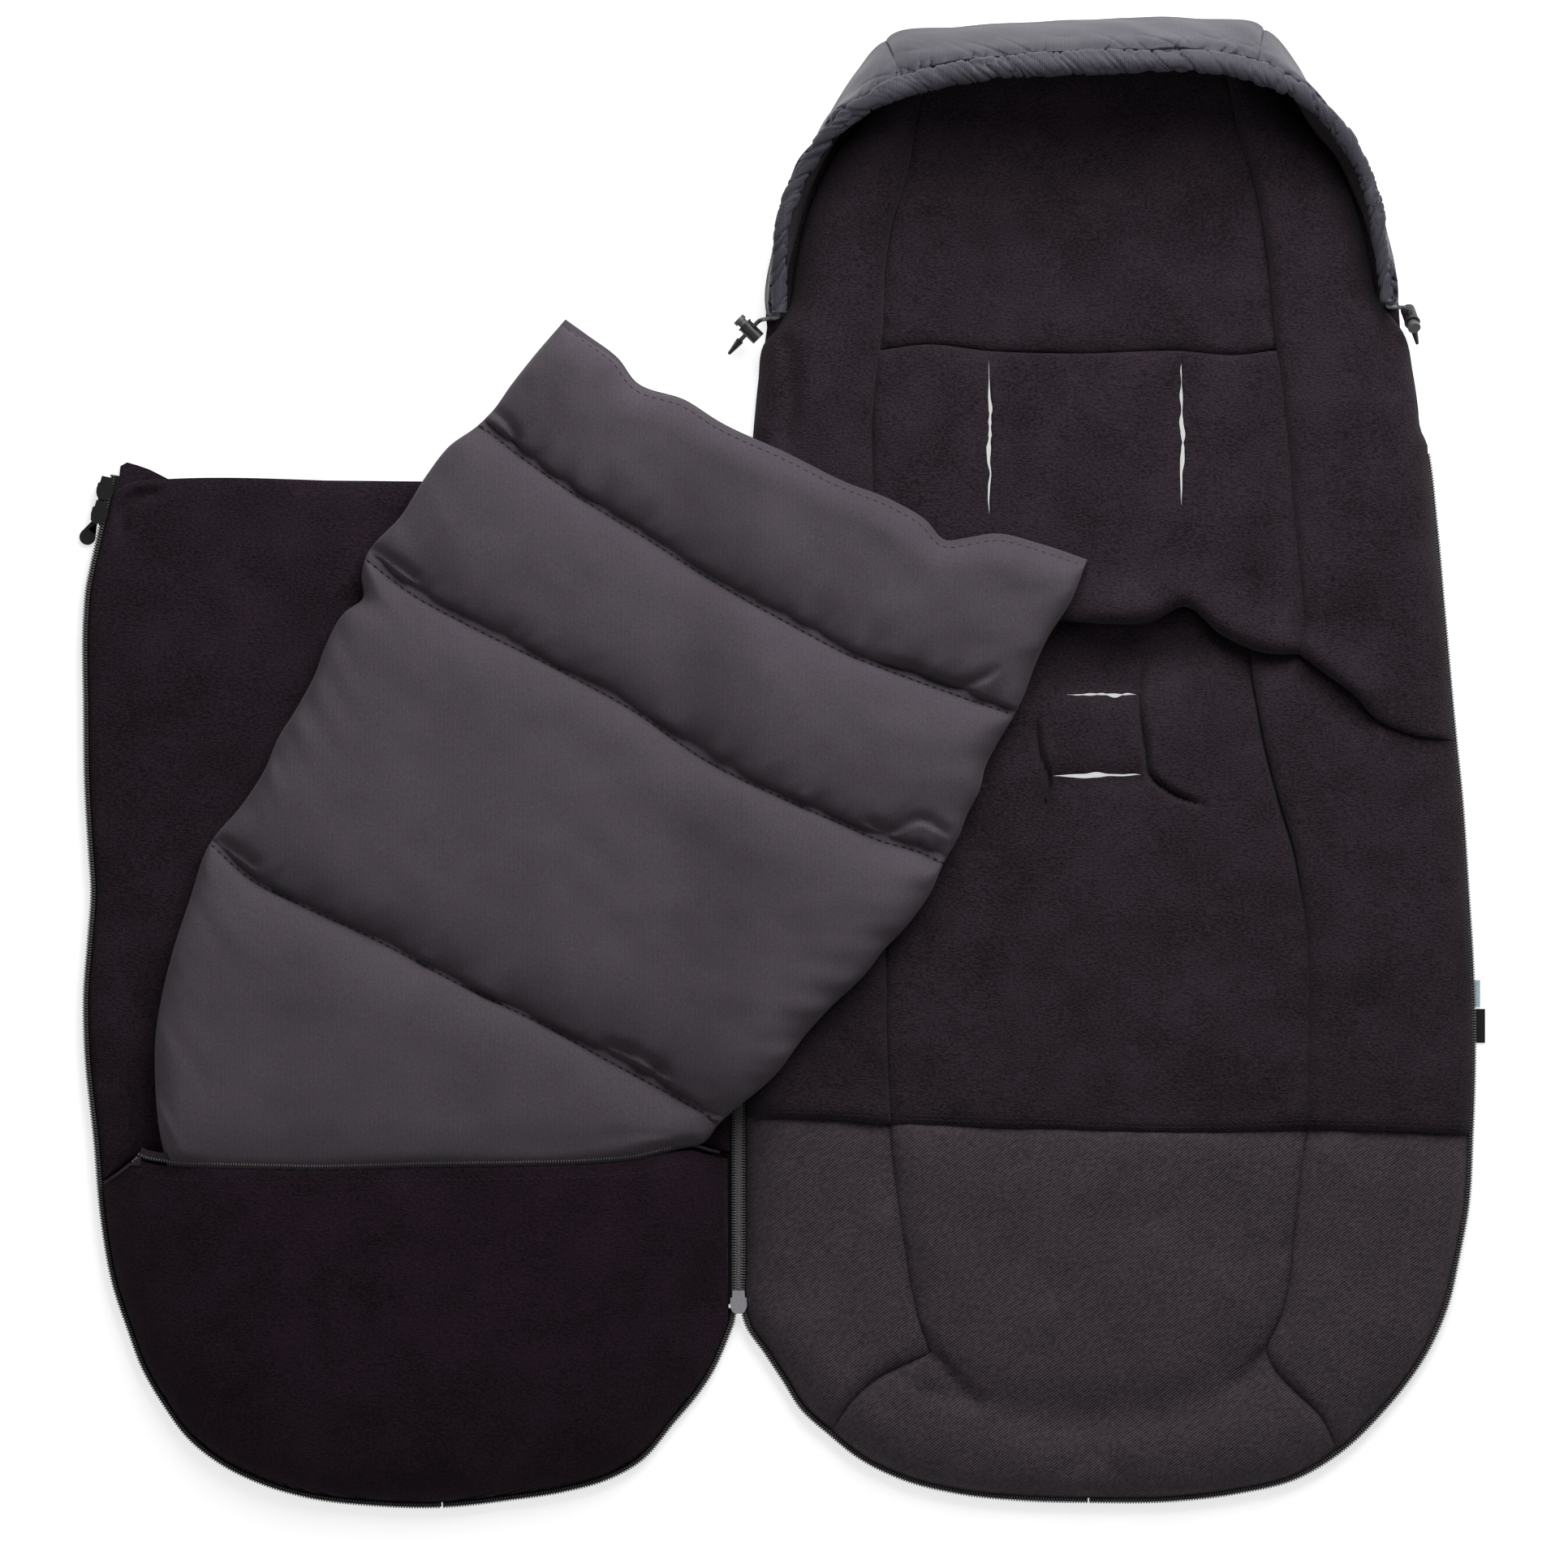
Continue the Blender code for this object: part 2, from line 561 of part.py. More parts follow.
def liner_backing():
    """The liner's outer shell: a flat sheet with the four harness slots."""
    edge = inset_curve(LINER, SHELL_INSET, LINER_MIDDLE)
    points = [edge(share) for share in np.linspace(0.0, 1.0, 91)]
    crest = inset_curve(curve_px(HOOD_OUTLINE_PX), HEM_INSET, LINER_MIDDLE)
    points += [crest(share) for share in np.linspace(1.0, 0.0, 31)]
    piece = sheet("liner_backing", points, 0.0, SHELL_THICKNESS, TWILL)
    return cut_slots(piece, SHOULDER_SLOTS_PX, CROTCH_SLOTS_PX)


def cut_slots(piece, shoulder, crotch):
    """Cut harness slots right through a piece."""
    half = SLOT_WIDTH / 2
    spreads = [(ends, Vector((half, 0.0, SLOT_CUT_OVERRUN))) for ends in shoulder]
    spreads += [(ends, Vector((0.0, half, SLOT_CUT_OVERRUN))) for ends in crotch]
    for ends, spread in spreads:
        corners = np.array([plan(end) for end in ends])
        low = Vector((*corners.min(axis=0), 0.0)) - spread
        high = Vector((*corners.max(axis=0), BACK_SIDE_CROWN)) + spread
        cut(piece, box("slot_cutter", low, high, FLEECE))
    return piece


def liner_part(first, last):
    """A stretch of the liner's outline between two of its marks."""
    return LINER.part(LINER_MARKS[first], LINER_MARKS[last])


def cover_part(first, last):
    """A stretch of the cover's outline between two of its marks."""
    return COVER.part(COVER_MARKS[first], COVER_MARKS[last])


def outline_part(first, last, inset):
    """A stretch of the liner's outline, drawn in."""
    return inset_curve(liner_part(first, last), inset, LINER_MIDDLE)


def side_inset(share):
    """How far the back's side pads stay in from the outline: less above the zip's top."""
    return HEM_INSET + (PAD_INSET - HEM_INSET) * min(max(share / SIDE_INSET_SHARE, 0.0), 1.0)


def line_between(start, end):
    return lambda share: start + (end - start) * share


def trimmed(curve, start, end):
    """A cross seam whose ends are moved onto two side curves."""
    def point(share):
        return curve(share) + (start - curve(0)) * (1 - share) + (end - curve(1)) * share
    return point


def liner_pads():
    """The fleece pads of head, back and seat, and the twill pads of the foot."""
    marks_l, marks_r = LEFT_SEAM_MARKS, RIGHT_SEAM_MARKS

    def seam_l(start, end):
        return LEFT_SEAM.part(marks_l[start], marks_l[end])

    def seam_r(start, end):
        return RIGHT_SEAM.part(marks_r[start], marks_r[end])

    def strip(left, right, upper, lower):
        top = trimmed(upper, left(0), right(0))
        bottom = trimmed(lower, left(1), right(1))
        return reverse(left), reverse(right), bottom, top

    def straight(left, right):
        return line_between(left(0), right(0)), line_between(left(1), right(1))

    shoulder, waist = curve_px(SHOULDER_SEAM_PX), curve_px(WAIST_PX)
    waist_left, waist_right = curve_px(WAIST_LEFT_PX), curve_px(WAIST_RIGHT_PX)
    hem_left, hem, hem_right = curve_px(HEM_LEFT_PX), curve_px(HEM_PX), curve_px(HEM_RIGHT_PX)
    toe_left, toe_crease, toe_right = curve_px(TOE_LEFT_PX), curve_px(TOE_CREASE_PX), curve_px(TOE_RIGHT_PX)
    round_all = PAD_ROUNDING
    waist_back = (round_all, round_all, WAIST_ROUNDING, round_all)
    waist_seat = (round_all, round_all, round_all, SEAT_SLOPE)

    left, right = seam_l("head", "shoulder"), seam_r("head", "shoulder")
    head = straight(left, right)[0]
    pad("head_pad", strip(left, right, head, shoulder), HEAD_CROWN, FLEECE, (10, 10))

    left, right = reverse(curve_px(HEAD_SIDE_LEFT_PX)), seam_l("head", "neck")
    pad("head_side_left", strip(left, right, *straight(left, right)), HEAD_SIDE_CROWN, FLEECE, (6, 9))
    left, right = seam_r("head", "neck"), reverse(curve_px(HEAD_SIDE_RIGHT_PX))
    pad("head_side_right", strip(left, right, *straight(left, right)), HEAD_SIDE_CROWN, FLEECE, (6, 9))

    left, right = seam_l("shoulder", "waist"), seam_r("shoulder", "waist")
    back = pad("back_pad", strip(left, right, shoulder, waist), BACK_CROWN, FLEECE, (12, 10), waist_back)
    cut_slots(back, SHOULDER_SLOTS_PX, [])

    left, right = outline_part("start", "waist_left", side_inset), seam_l("neck", "waist")
    top = straight(left, right)[0]
    pad("back_side_left", strip(left, right, top, waist_left), BACK_SIDE_CROWN, FLEECE, (8, 10), waist_back)
    left = seam_r("neck", "waist")
    right = reverse(outline_part("waist_right", "end", lambda s: side_inset(1 - s)))
    top = straight(left, right)[0]
    pad("back_side_right", strip(left, right, top, waist_right), BACK_SIDE_CROWN, FLEECE, (8, 10), waist_back)

    left, right = seam_l("waist", "hem"), seam_r("waist", "hem")
    seat = pad("seat_pad", strip(left, right, waist, hem), SEAT_CROWN, FLEECE, (12, 12), waist_seat)
    cut_slots(seat, [], CROTCH_SLOTS_PX)

    left, right = outline_part("waist_left", "hem_left", PAD_INSET), seam_l("waist", "hem")
    pad("seat_side_left", strip(left, right, waist_left, hem_left), SEAT_SIDE_CROWN, FLEECE, (8, 10), waist_seat)
    left, right = seam_r("waist", "hem"), reverse(outline_part("hem_right", "waist_right", PAD_INSET))
    pad("seat_side_right", strip(left, right, waist_right, hem_right), SEAT_SIDE_CROWN, FLEECE, (8, 10),
        waist_seat)

    left, right = seam_l("hem", "toe"), seam_r("hem", "toe")
    pad("foot_panel", strip(left, right, hem, toe_crease), FOOT_CROWN, TWILL, (10, 8))
    left, right = outline_part("hem_left", "toe_left", PAD_INSET), seam_l("hem", "toe")
    pad("foot_side_left", strip(left, right, hem_left, reverse(toe_left)), FOOT_SIDE_CROWN, TWILL, (7, 10))
    left, right = seam_r("hem", "toe"), reverse(outline_part("toe_right", "hem_right", PAD_INSET))
    pad("foot_side_right", strip(left, right, hem_right, toe_right), FOOT_SIDE_CROWN, TWILL, (7, 10))

    front = outline_part("toe_left", "toe_right", PAD_INSET)
    left = trimmed(reverse(toe_left), front(0), toe_left(0))
    right = trimmed(reverse(toe_right), front(1), toe_right(0))
    pad("toe_pad", (left, right, front, toe_crease), TOE_CROWN, TWILL, (16, 7))


def zip_profile():
    """Half a zip in section: the chain at the outline and the tape that slopes down to the shell.

    Each point is (distance in from the outline, height)."""
    return [
        (CHAIN_CHAMFER, CHAIN_BOTTOM), (0.0, CHAIN_BOTTOM + CHAIN_CHAMFER), (0.0, CHAIN_TOP - CHAIN_CHAMFER),
        (CHAIN_CHAMFER, CHAIN_TOP), (CHAIN_WIDTH, CHAIN_TOP), (CHAIN_WIDTH, CHAIN_BOTTOM + TAPE_THICKNESS),
        (TAPE_FLAT, CHAIN_BOTTOM + TAPE_THICKNESS), (TAPE_REACH, PAD_BASE + TAPE_THICKNESS),
        (TAPE_REACH, PAD_BASE), (TAPE_FLAT, CHAIN_BOTTOM),
    ]


def zip_half(name, curve, centre, stations):
    """A zip half along a curve."""
    profile, sections = zip_profile(), []
    for share in np.linspace(0.0, 1.0, stations + 1):
        point, normal = curve(share), inward(curve, share, centre)
        sections.append([(*(point + normal * depth), height) for depth, height in profile])
    return sweep(name, sections, ZIP_BLACK)


def clipped(curve, start_gap, end_gap):
    """A curve with a length taken off each end."""
    length = sum(np.linalg.norm(curve((i + 1) / 50) - curve(i / 50)) for i in range(50))
    a, b = start_gap / length, 1.0 - end_gap / length
    return lambda share: curve(a + (b - a) * share)


def liner_zips():
    left = clipped(liner_part("zip_top_left", "notch"), 0.0, SEAM_GAP)
    right = clipped(liner_part("notch", "zip_top_right"), SEAM_GAP, 0.0)
    zip_half("liner_zip_left", left, LINER_MIDDLE, 44)
    zip_half("liner_zip_right", right, LINER_MIDDLE, 40)


def tags():
    """Two ribbon tags that stand out past the liner's right edge."""
    places = (
        ("tag_black", TAG_BLACK_PX, TAG_BLACK_LENGTH, TAG_REACH, RIBBON_BLACK),
        ("tag_blue", TAG_BLUE_PX, TAG_BLUE_LENGTH, TAG_BLUE_REACH, RIBBON_BLUE),
    )
    side = liner_part("hem_right", "waist_right")
    shares = np.linspace(0.0, 1.0, 200)
    for name, row, length, reach, finish in places:
        middle_y = plan((0, row))[1]
        middle = side(min(shares, key=lambda s: abs(side(s)[1] - middle_y)))
        near = middle[0] - SHELL_INSET + LAYER_GAP
        low = (near, middle_y - length / 2, LAYER_GAP)
        high = (near + reach, middle_y + length / 2, LAYER_GAP + TAG_THICKNESS)
        box(name, low, high, finish)


def shares_of(table, share):
    """Read a smooth table of (share, value share)."""
    marks, values = zip(*table)
    i = min(int(np.searchsorted(marks, share, side="right")) - 1, len(marks) - 2)
    t = (share - marks[i]) / (marks[i + 1] - marks[i])
    return values[i] + (values[i + 1] - values[i]) * t * t * (3 - 2 * t)


class Hood:
    """The hood's section at a share of the way round it, from its left end to its right."""

    outline = curve_px(HOOD_OUTLINE_PX)
    rim_inner = curve_px(RIM_INNER_PX)
    middle = plan((1330, 400))

    @classmethod
    def rim(cls, share):
        """Centre height and radius of the gathered channel, and its plan point."""
        radius = RIM_END_RADIUS + (RIM_RADIUS - RIM_END_RADIUS) * shares_of(RIM_RADIUS_SHARES, share)
        rise = shares_of(RIM_HEIGHT_SHARES, share)
        height = HOOD_END_HEIGHT + (HOOD_CREST_HEIGHT - HOOD_END_HEIGHT) * rise - radius
        normal = inward(cls.rim_inner, share, cls.middle, HOOD_TURN_SHARE)
        return cls.rim_inner(share) - normal * radius, height, radius

    @classmethod
    def spine(cls, share, t):
        """The wall's middle line from its seat on the backing (t = 0) to the channel (t = 1)."""
        outer, normal = cls.outline(share), inward(cls.outline, share, cls.middle, HOOD_TURN_SHARE)
        top_plan, top_height, radius = cls.rim(share)
        foot = outer + normal * (HOOD_SEAT_INSET + HOOD_WALL_TOP / 2)
        knee = outer + normal * HOOD_BULGE_INSET
        foot_z, top_z = PAD_BASE, top_height - radius - RIM_SEAT_GAP
        knee_z = foot_z + (top_z - foot_z) * HOOD_KNEE_SHARE
        a, b, c = (1 - t) ** 2, 2 * t * (1 - t), t * t
        return a * foot + b * knee + c * top_plan, a * foot_z + b * knee_z + c * top_z

    @classmethod
    def layer(cls, share, start, end, steps=6):
        """A closed section between two depths in from the wall's middle line (shares of its thickness)."""
        inner_way = inward(cls.outline, share, cls.middle, HOOD_TURN_SHARE)
        sides = []
        for depth in (start, end):
            line = []
            for t in np.linspace(0.0, 1.0, steps + 1):
                point, height = cls.spine(share, t)
                swell = HOOD_WALL_TOP + (HOOD_WALL - HOOD_WALL_TOP) * 4 * t * (1 - t)
                offset = depth[0] * swell / 2 + depth[1]
                line.append((*(point + inner_way * offset), height))
            sides.append(line)
        return sides[0] + sides[1][::-1]


def hood():
    """Three padded wall panels, one lining, and the gathered channel on the rim."""
    left_seam, right_seam = [Hood.outline.marks[mark] for mark in HOOD_SEAM_MARKS]
    spans = {
        "hood_side_left": (0.0, left_seam, 11),
        "hood_top": (left_seam, right_seam, 10),
        "hood_side_right": (right_seam, 1.0, 11),
    }
    seam = SEAM_GAP / 2 / LINER_LENGTH
    stations = []
    for name, (first, last, count) in spans.items():
        start = first + (seam if first > 0 else 0.0)
        end = last - (seam if last < 1 else 0.0)
        shares = np.linspace(start, end, count + 1)
        sweep(name, [Hood.layer(s, (-1, 0.0), (1, 0.0)) for s in shares], HOOD_CLOTH)
        stations.extend(shares)
    inner = [Hood.layer(s, (1, HOOD_LINING_GAP + HOOD_LINING), (1, HOOD_LINING_GAP)) for s in stations]
    sweep("hood_lining", inner, FLEECE)
    rims, bores = [], []
    for share in np.linspace(0.0, 1.0, RIM_STATIONS):
        point, height, radius = Hood.rim(share)
        way = inward(Hood.rim_inner, share, Hood.middle, HOOD_TURN_SHARE)
        for loops, size in ((rims, radius), (bores, RIM_BORE)):
            loops.append(circle(point, way, height, size, 10))
    sweep("hood_rim", rims, HOOD_CLOTH, bores)


def circle(point, way, height, radius, count):
    """A ring of points in the upright plane of a plan direction."""
    ring = []
    for i in range(count):
        angle = 2 * math.pi * (i + 0.5) / count
        across = point + way * radius * math.cos(angle)
        ring.append((*across, height + radius * math.sin(angle)))
    return ring


def tube(name, points, radius, finish, sides=8, end_radius=None):
    """A tube through points, with flat ends, and a steady or tapering radius."""
    points = [Vector(point) for point in points]
    sections = []
    last = len(points) - 1
    side = None
    for i, point in enumerate(points):
        run = (points[min(i + 1, last)] - points[max(i - 1, 0)]).normalized()
        side = run.cross(Vector((0, 0, 1))) if side is None else side - run * side.dot(run)
        side.normalize()
        lift = run.cross(side)
        size = radius if end_radius is None else radius + (end_radius - radius) * i / last
        ring = [
            point + (side * math.cos(a) + lift * math.sin(a)) * size
            for a in (2 * math.pi * k / sides for k in range(sides))
        ]
        sections.append([tuple(p) for p in ring])
    return sweep(name, sections, finish)


def cord_tail(exits_px, heights_share):
    """Points of the drawcord outside the hood: its run through the lock and into its end."""
    return [
        Vector((*plan(pixel), HOOD_END_HEIGHT * share)) for pixel, share in zip(exits_px, heights_share)
    ]


LEFT_TAIL = cord_tail(LEFT_CORD_EXIT_PX, LEFT_CORD_HEIGHTS_SHARE)
RIGHT_TAIL = cord_tail(RIGHT_CORD_EXIT_PX, RIGHT_CORD_HEIGHTS_SHARE)


def drawcord():
    """The elastic cord inside the rim's channel, out at both ends, through the locks to its ends."""
    route = []
    for share in np.linspace(0.0, 1.0, RIM_STATIONS):
        point, height, _ = Hood.rim(share)
        route.append(Vector((*point, height)))
    leave_left = route[0] + (route[0] - route[1]).normalized() * CORD_STRAIGHT_EXIT
    leave_right = route[-1] + (route[-1] - route[-2]).normalized() * CORD_STRAIGHT_EXIT
    points = [*LEFT_TAIL[1::-1], leave_left, *route, leave_right, *RIGHT_TAIL[:2]]
    tube("drawcord", points, CORD_RADIUS, ELASTIC, sides=6)
    for name, tail in (("cord_end_left", LEFT_TAIL), ("cord_end_right", RIGHT_TAIL)):
        way = (tail[2] - tail[1]).normalized()
        start = tail[1] + way * LAYER_GAP
        middle = start + way * CORD_END_LENGTH / 2
        tube(name, [start, middle, start + way * CORD_END_LENGTH], CORD_END_RADIUS, PLASTIC, 10,
             CORD_END_TIP_RADIUS)


def lock_frame(tail, barrel_way):
    """The matrix that puts a cord lock built on Z on its cord: local Z is the barrel, local X the cord."""
    cord_way = (tail[1] - tail[0]).normalized()
    barrel = barrel_way - cord_way * barrel_way.dot(cord_way)
    barrel.normalize()
    third = barrel.cross(cord_way)
    turn = Matrix((cord_way, third, barrel)).transposed().to_4x4()
    return Matrix.Translation(tail[0].lerp(tail[1], LOCK_CORD_SHARE)) @ turn


def cord_hole(half_width, half_length, reach, finish):
    """A cutter across a lock for the cord, longer along the barrel than the cord is thick."""
    return box("hole_cutter", (-reach, -half_width, -half_length[0]), (reach, half_width, half_length[1]),
               finish)


def cord_lock(side, tail, barrel_way):
    """A barrel cord lock: open barrel, plunger with its button, and the spring under the plunger."""
    frame = lock_frame(tail, barrel_way)
    hole = CORD_RADIUS + LOCK_CORD_CLEARANCE
    top = LOCK_TOP
    bottom = top - LOCK_LENGTH
    barrel = cylinder(f"cord_lock_{side}", LOCK_RADIUS, bottom, top, PLASTIC)
    collar = cylinder("collar", LOCK_COLLAR_RADIUS, top - LOCK_COLLAR, top, PLASTIC)
    cut(barrel, collar, "UNION")
    bore = PLUNGER_RADIUS + PLUNGER_CLEARANCE
    cut(barrel, cylinder("bore_cutter", bore, bottom + LOCK_FLOOR, top + SLOT_CUT_OVERRUN, PLASTIC))
    cut(barrel, cord_hole(hole, (hole, hole), LOCK_RADIUS * 2, PLASTIC))

    button_base = top + BUTTON_STANDOFF
    plunger_bottom = -PLUNGER_FOOT
    button = cylinder(f"cord_lock_button_{side}", PLUNGER_RADIUS, plunger_bottom, button_base, BUTTON_GREY)
    cut(button, cylinder("button_head", BUTTON_RADIUS, button_base - LAYER_GAP, button_base + BUTTON_HEIGHT,
                         BUTTON_GREY), "UNION")
    cut(button, cord_hole(hole, (hole, hole + BUTTON_TRAVEL), LOCK_RADIUS * 2, BUTTON_GREY))

    spring_bottom = bottom + LOCK_FLOOR + SPRING_WIRE + LAYER_GAP / 2
    spring_top = plunger_bottom - SPRING_WIRE - LAYER_GAP / 2
    spring_radius = PLUNGER_RADIUS - SPRING_WIRE * 2
    steps = SPRING_TURNS * SPRING_TURN_STEPS
    coil = []
    for i in range(steps + 1):
        angle = 2 * math.pi * SPRING_TURNS * i / steps
        height = spring_bottom + (spring_top - spring_bottom) * i / steps
        coil.append((spring_radius * math.cos(angle), spring_radius * math.sin(angle), height))
    spring = tube(f"cord_lock_spring_{side}", coil, SPRING_WIRE, SPRING_STEEL, sides=4)
    for piece in (barrel, button, spring):
        piece.data.transform(frame)
        set_origin(piece, frame.translation)


def slider_outline():
    """Half outline of a slider plate as (half width, distance from the mouth), from mouth to neck."""
    half, length = SLIDER_WIDTH / 2, SLIDER_LENGTH
    return [(half * w, length * y) for w, y in SLIDER_OUTLINE_SHARES]


def slider_plate(name, bottom, top, finish):
    """One plate of a slider, centred on the chain line, its mouth towards -Y."""
    half = slider_outline()
    shift = SLIDER_LENGTH / 2
    right = [np.array([x, y - shift]) for x, y in half]
    left = [np.array([-x, y - shift]) for x, y in reversed(half)]
    return sheet(name, right + left, bottom, top, finish)


def zip_slider(name, finish):
    """A slider: two plates, the diamond that joins them, flanges and the bridge for the pull below."""
    lower_top = CHAIN_BOTTOM - SLIDER_CLEARANCE
    upper_bottom = CHAIN_TOP + SLIDER_CLEARANCE
    body = slider_plate(name, lower_top - SLIDER_PLATE, lower_top, finish)
    cut(body, slider_plate("top_plate", upper_bottom, SLIDER_TOP, finish), "UNION")
    mouth = -SLIDER_LENGTH / 2
    sink = SLIDER_PLATE / 2
    half = DIAMOND_WIDTH / 2
    tip, widest = mouth + SLIDER_PLATE, mouth + DIAMOND_LENGTH * DIAMOND_WIDEST_SHARE
    corners = [(0.0, tip), (half, widest), (0.0, tip + DIAMOND_LENGTH), (-half, widest)]
    diamond = [np.array(corner) for corner in corners]
    cut(body, sheet("diamond", diamond, lower_top - sink, upper_bottom + sink, finish), "UNION")
    inner = CHAIN_WIDTH + ZIP_HALF_GAP_PX * PIXEL + SLIDER_CLEARANCE
    flange_low = upper_bottom - SLIDER_FLANGE_DEPTH
    for way in (-1, 1):
        sides = sorted((way * inner, way * (inner + SLIDER_FLANGE)))
        low = (sides[0], -SLIDER_FLANGE_LENGTH / 2, flange_low)
        high = (sides[1], SLIDER_FLANGE_LENGTH / 2, upper_bottom + sink)
        cut(body, box("flange", low, high, finish), "UNION")
    bridge_top = lower_top - SLIDER_PLATE
    width = BRIDGE_WIDTH / 2
    strap_top = bridge_top - BRIDGE_OPENING
    strap = box("strap", (-width, -BRIDGE_LENGTH / 2, strap_top - BRIDGE_STRAP),
                (width, BRIDGE_LENGTH / 2, bridge_top + sink), finish)
    opening = box("opening", (-SLIDER_WIDTH, -BRIDGE_LENGTH / 2 + BRIDGE_STRAP, strap_top),
                  (SLIDER_WIDTH, BRIDGE_LENGTH / 2 - BRIDGE_STRAP, bridge_top), finish)
    cut(strap, opening)
    cut(body, strap, "UNION")
    return body


BRIDGE_TOP = CHAIN_BOTTOM - SLIDER_CLEARANCE - SLIDER_PLATE
PULL_AXIS_Z = BRIDGE_TOP - BRIDGE_OPENING / 2
PULL_AXIS_Y = BRIDGE_LENGTH / 2 - BRIDGE_STRAP - SLIDER_CLEARANCE - PULL_BAR


def zip_pull(name, finish, length, end_radius):
    """A flat pull: a window round the slider's bridge, its bar in the bridge, and a teardrop end towards -Y."""
    bottom, top = PULL_AXIS_Z - PULL_THICKNESS / 2, PULL_AXIS_Z + PULL_THICKNESS / 2
    side, neck = PULL_WINDOW_WIDTH / 2 + PULL_ARM, PULL_NECK / 2
    start = PULL_AXIS_Y + PULL_BAR / 2
    end_middle = start - length + end_radius
    window_end = start - PULL_BAR - PULL_WINDOW_LENGTH
    right = [np.array([side, start]), np.array([side, window_end])]
    if end_middle + end_radius < window_end - PULL_NECK:
        right.append(np.array([neck, window_end - PULL_BAR]))
    arc = []
    for i in range(PULL_END_STEPS + 1):
        angle = math.pi * (PULL_END_TURN_SHARE - (1 + 2 * PULL_END_TURN_SHARE) * i / PULL_END_STEPS)
        arc.append(np.array([end_radius * math.cos(angle), end_middle + end_radius * math.sin(angle)]))
    left = [np.array([-x, y]) for x, y in reversed(right)]
    pull = sheet(name, (right + arc + left)[::-1], bottom, top, finish)
    half = PULL_WINDOW_WIDTH / 2
    window = box("window", (-half, window_end, bottom - SLOT_CUT_OVERRUN),
                 (half, start - PULL_BAR, top + SLOT_CUT_OVERRUN), finish)
    cut(pull, window)
    dish = cylinder("dish", end_radius * PULL_DISH_SHARE, bottom - PULL_THICKNESS, bottom + PULL_DISH_DEPTH, finish)
    dish.data.transform(Matrix.Translation((0, end_middle, 0)))
    cut(pull, dish)
    return pull


def place_slider(body, pull, middle, turn, pull_turn=0.0, yaw=0.0):
    """Turn a slider and its pull about Z and put them on their chain. yaw swings the pull in its bridge."""
    where = Matrix.Translation((*middle, 0.0)) @ Matrix.Rotation(turn, 4, "Z")
    bar = Vector((0.0, PULL_AXIS_Y, PULL_AXIS_Z))
    swing = Matrix.Translation(bar) @ Matrix.Rotation(yaw, 4, "Z") @ Matrix.Translation(-bar)
    pull_frame = where @ Matrix.Rotation(pull_turn, 4, "Z") @ swing
    body.data.transform(where)
    set_origin(body, where @ Vector((0.0, 0.0, CHAIN_BOTTOM)))
    pull.data.transform(pull_frame)
    set_origin(pull, pull_frame @ bar)


def free_chain_line():
    """Start and direction of the straight stretch of the cover's free chain, and the line the sliders ride."""
    start, end = plan(COVER_OUTLINE_PX[0]), plan(COVER_OUTLINE_PX[COVER_MARKS["straight_end"]])
    way = (end - start) / np.linalg.norm(end - start)
    outside = np.array([way[1], -way[0]])
    return start, way, outside


def sliders():
    """The silver slider of the side zip, and the two black ones parked at the top of the free chain."""
    side = (ZIP_LINE, plan((0, SIDE_SLIDER_PX))[1])
    body = zip_slider("side_zip_slider", STEEL)
    pull = zip_pull("side_zip_pull", STEEL, SHORT_PULL_LENGTH, SHORT_PULL_END_RADIUS)
    place_slider(body, pull, side, 0.0, pull_turn=math.pi)
    start, way, outside = free_chain_line()
    along = np.dot(plan(SLIDER_UPPER_PX) - start, way)
    turn = math.atan2(-way[1], -way[0]) - math.pi / 2
    sizes = (("upper", SHORT_PULL_LENGTH, SHORT_PULL_END_RADIUS), ("lower", PULL_LENGTH, PULL_END_RADIUS))
    for number, (name, length, radius) in enumerate(sizes):
        middle = start + way * (along + SLIDER_SPACING * number) + outside * ZIP_HALF_GAP_PX * PIXEL
        body = zip_slider(f"zip_slider_{name}", BLACK_METAL)
        pull = zip_pull(f"zip_pull_{name}", BLACK_METAL, length, radius)
        place_slider(body, pull, middle, turn, yaw=-PULL_YAW * number)


